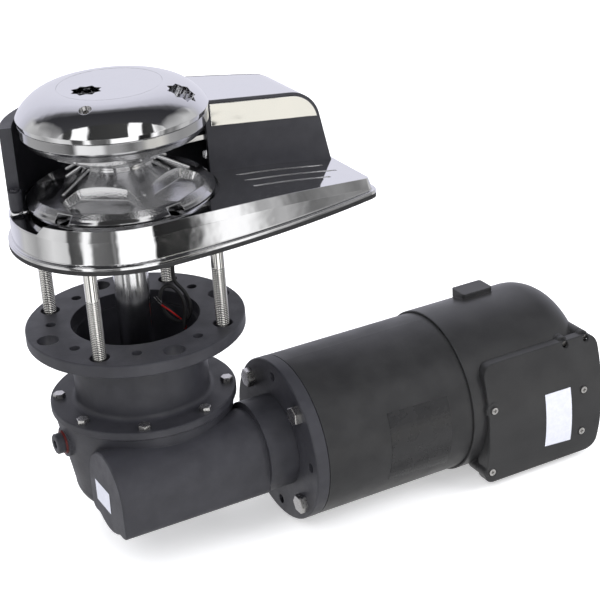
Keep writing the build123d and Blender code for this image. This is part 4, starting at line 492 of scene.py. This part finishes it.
# bare wire ends of the sensor cable
wireSetup = {
    "radius": 0.0007,
    "tipRadius": 0.0004,
    "sides": 3,
    "steps": 12,
    "sleeves": ["mouldedRed", "softRubber"],
    "routes": [
        ([(0.0425, -0.0102, -0.1040), (0.0440, -0.0085, -0.1080), (0.0468, -0.0055, -0.1070),
          (0.0458, -0.0045, -0.1018), (0.0415, -0.0050, -0.0966), (0.0356, -0.0062, -0.0900),
          (0.0284, -0.0074, -0.0821), (0.0232, -0.0082, -0.0769)],
         [(0.0232, -0.0082, -0.0769), (0.0205, -0.0087, -0.0737), (0.0183, -0.0091, -0.0700),
          (0.0165, -0.0091, -0.0672)]),
        ([(0.0423, -0.0098, -0.1040), (0.0434, -0.0070, -0.1075), (0.0456, -0.0045, -0.1062),
          (0.0445, -0.0035, -0.1008), (0.0405, -0.0040, -0.0948), (0.0352, -0.0055, -0.0885),
          (0.0290, -0.0068, -0.0812), (0.0247, -0.0078, -0.0762)],
         [(0.0247, -0.0078, -0.0762), (0.0225, -0.0084, -0.0727), (0.0207, -0.0088, -0.0702),
          (0.0188, -0.0090, -0.0672)]),
    ],
}
def makeWire(name, points, radius, finish):
    wire = roundCurve(name, points, radius, wireSetup["sides"], wireSetup["steps"])
    wire.data.materials.append(finishes[finish])
    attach(wire, "frame")
    return wire


for i, (sleeve, tip) in enumerate(wireSetup["routes"]):
    makeWire(f"wireSleeve{i}", sleeve, wireSetup["radius"], wireSetup["sleeves"][i])
    makeWire(f"wireTip{i}", tip, wireSetup["tipRadius"], "boltSteel")
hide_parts("sensor_wires")
print("wires laid")


# bare plates where the housing carries its labels, laid on the surface along one axis
plateSteps = 16
plateSetup = {
    "lid": {"node": "terminal_lid", "finish": "labelPaper", "axis": "y", "offset": 0.0003, "corners": [
        (0.3461, -0.1545, -0.2072), (0.3758, -0.1545, -0.2076),
        (0.3790, -0.1545, -0.2680), (0.3482, -0.1545, -0.2655)]},
    "tube": {"node": "motor_tube", "finish": "labelFilm", "axis": "y", "offset": 0.0003, "corners": [
        (0.1790, -0.1500, -0.1805), (0.2435, -0.1500, -0.1820),
        (0.2445, -0.1500, -0.2560), (0.1785, -0.1500, -0.2510)]},
    "nose": {"node": "gear_case", "finish": "labelPaper", "axis": "x", "offset": 0.0003, "corners": [
        (-0.0740, -0.0430, -0.2100), (-0.0740, -0.0755, -0.2105),
        (-0.0740, -0.0745, -0.2320), (-0.0740, -0.0432, -0.2310)]},
}


def barePlate(name, item):
    a, b, c, d = [Vector(corner) for corner in item["corners"]]
    shares = [i / plateSteps for i in range(plateSteps + 1)]
    bm = bmesh.new()
    rows = [[bm.verts.new(a.lerp(d, down).lerp(b.lerp(c, down), along)) for along in shares] for down in shares]
    for low, high in zip(rows, rows[1:]):
        for k in range(plateSteps):
            bm.faces.new((low[k], low[k + 1], high[k + 1], high[k]))
    mesh = bpy.data.meshes.new(f"{name}Plate")
    bm.to_mesh(mesh)
    bm.free()
    mesh.materials.append(finishes[item["finish"]])
    plate = bpy.data.objects.new(f"{name}Plate", mesh)
    bpy.context.scene.collection.objects.link(plate)
    wrap = plate.modifiers.new("lieOnSurface", "SHRINKWRAP")
    wrap.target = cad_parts[item["node"]]
    wrap.wrap_method = "PROJECT"
    wrap.use_project_x = item["axis"] == "x"
    wrap.use_project_y = item["axis"] == "y"
    wrap.use_positive_direction = True
    wrap.use_negative_direction = False
    wrap.offset = item["offset"]
    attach(plate, "frame")


for name, item in plateSetup.items():
    barePlate(name, item)
print("bare plates laid")


def makeFloor(setup):
    mesh = bpy.data.meshes.new("studioFloor")
    size, z = setup["floorSize"], setup["floorZ"]
    mesh.from_pydata([(-size, -size, z), (size, -size, z), (size, size, z), (-size, size, z)], [], [(0, 1, 2, 3)])
    floor = bpy.data.objects.new("studioFloor", mesh)
    bpy.context.scene.collection.objects.link(floor)
    material, _, shader = newMaterial("studioFloor", setup["floorColour"][:3], 0.0, 0.9)
    shader.inputs["Specular IOR Level"].default_value = 0.1
    shader.inputs["Emission Color"].default_value = (1.0, 1.0, 1.0, 1.0)
    shader.inputs["Emission Strength"].default_value = setup["floorGlow"]
    mesh.materials.append(material)
    floor.visible_glossy = False


def toneRamp(tree, value, stops):
    ramp = tree.nodes.new("ShaderNodeValToRGB")
    points = ramp.color_ramp.elements
    while len(points) < len(stops):
        points.new(0.5)
    for point, (spot, tone) in zip(points, sorted(stops, key=lambda item: item[0])):
        point.position = spot
        point.color = (*tone, 1.0) if isinstance(tone, tuple) else (tone, tone, tone, 1.0)
    tree.links.new(value, ramp.inputs["Fac"])
    return ramp.outputs["Color"]


def blendColours(tree, amount, first, second):
    mix = tree.nodes.new("ShaderNodeMix")
    mix.data_type = "RGBA"
    tree.links.new(amount, mix.inputs[0])
    tree.links.new(first, mix.inputs[6])
    tree.links.new(second, mix.inputs[7])
    return mix.outputs[2]


def reflectedStudio(tree, setup):
    place = tree.nodes.new("ShaderNodeTexCoord").outputs["Generated"]
    x, y, z = splitPlace(tree, place)
    front = math.radians(setup["frontAzimuth"])
    forward = mathNode(tree, "ADD", mathNode(tree, "MULTIPLY", x, math.cos(front)),
                       mathNode(tree, "MULTIPLY", y, math.sin(front)))
    sideways = mathNode(tree, "SUBTRACT", mathNode(tree, "MULTIPLY", y, math.cos(front)),
                        mathNode(tree, "MULTIPLY", x, math.sin(front)))
    turn = mathNode(tree, "MULTIPLY", mathNode(tree, "ARCTAN2", sideways, forward), 180 / math.pi)
    wave = mathNode(tree, "SUBTRACT", noiseNode(tree, place, setup["cloudScale"], 2.0, 0.5), 0.5)
    turn = mathNode(tree, "ADD", turn, mathNode(tree, "MULTIPLY", wave, setup["waviness"]))
    round01 = rangeNode(tree, turn, -180.0, 180.0, 0.0, 1.0)
    low, cream = [toneRamp(tree, round01, [((spot + 180) / 360, tone) for spot, tone in setup[name]])
                  for name in ("lowCards", "creamCards")]
    nearness = mathNode(tree, "SUBTRACT", 1.0, mathNode(tree, "MULTIPLY", z, 0.5))
    across = mathNode(tree, "DIVIDE", sideways, nearness)
    reach = setup["cardsReach"]
    high = toneRamp(tree, rangeNode(tree, across, -reach, reach, 0.0, 1.0),
                    [((spot + reach) / (2 * reach), tone) for spot, tone in setup["highCards"]])
    sweep = toneRamp(tree, rangeNode(tree, forward, -1.0, 1.0, 0.0, 1.0), setup["skySweep"])
    # just under the horizon the cream cards take over from the low ones
    under = mathNode(tree, "MULTIPLY", rangeNode(tree, z, *setup["creamFrom"], 0.0, 1.0),
                     rangeNode(tree, z, *setup["creamTo"], 1.0, 0.0))
    ring = blendColours(tree, under, low, cream)
    # above the front the dome sees the high cards, further back the sweep of sky
    aboveFront = rangeNode(tree, forward, *setup["cardsFrom"], 0.0, 1.0)
    beside = rangeNode(tree, mathNode(tree, "ABSOLUTE", sideways), *setup["cardsBeside"], 0.0, 1.0)
    cap = blendColours(tree, mathNode(tree, "MAXIMUM", aboveFront, beside), sweep, high)
    raised = rangeNode(tree, z, *setup["capFrom"], 0.0, 1.0)
    behind = mathNode(tree, "MULTIPLY", rangeNode(tree, forward, *setup["rearFrom"], 0.0, 1.0),
                      rangeNode(tree, z, *setup["rearHeight"], 0.0, 1.0))
    return blendColours(tree, behind, blendColours(tree, raised, ring, cap), sweep)


def makeWorld(setup):
    world = bpy.data.worlds.new("studioSky")
    bpy.context.scene.world = world
    world.use_nodes = True
    tree = world.node_tree
    tree.nodes.clear()
    out = tree.nodes.new("ShaderNodeOutputWorld")
    path = tree.nodes.new("ShaderNodeLightPath")
    seen, fill, shine = [tree.nodes.new("ShaderNodeBackground") for _ in range(3)]
    seen.inputs["Color"].default_value = setup["backdrop"]
    fill.inputs["Color"].default_value = setup["fill"]
    fill.inputs["Strength"].default_value = setup["fillStrength"]
    tree.links.new(reflectedStudio(tree, setup), shine.inputs["Color"])
    inner, outer = [tree.nodes.new("ShaderNodeMixShader") for _ in range(2)]
    tree.links.new(path.outputs["Is Glossy Ray"], inner.inputs["Fac"])
    tree.links.new(fill.outputs[0], inner.inputs[1])
    tree.links.new(shine.outputs[0], inner.inputs[2])
    tree.links.new(path.outputs["Is Camera Ray"], outer.inputs["Fac"])
    tree.links.new(inner.outputs[0], outer.inputs[1])
    tree.links.new(seen.outputs[0], outer.inputs[2])
    tree.links.new(outer.outputs[0], out.inputs["Surface"])

lampSetup = {
    "keyBox": {"place": (-1.3, -1.2, 1.6), "target": (0.1, 0, -0.05), "size": (1.2, 1.2), "energy": 22.0},
    "fillBox": {"place": (1.5, -1.4, 0.9), "target": (0.1, 0, -0.05), "size": (1.2, 1.0), "energy": 22.0},
    "topBox": {"place": (0.1, 0.3, 2.2), "target": (0.1, 0, 0), "size": (2.0, 2.0), "energy": 34.0},
}


def softBox(name, setup):
    data = bpy.data.lights.new(name, "AREA")
    data.shape = "RECTANGLE"
    data.size, data.size_y = setup["size"]
    data.energy = setup["energy"]
    lamp = bpy.data.objects.new(name, data)
    aim = Vector(setup["target"]) - Vector(setup["place"])
    lamp.rotation_euler = aim.to_track_quat("-Z", "Y").to_euler()
    lamp.location = setup["place"]
    lamp.visible_glossy = False
    bpy.context.scene.collection.objects.link(lamp)


makeFloor(studioSetup)
makeWorld(studioSetup)
for name, setup in lampSetup.items():
    softBox(name, setup)
bpy.context.scene.view_settings.view_transform = "Standard"
print("studio lit")
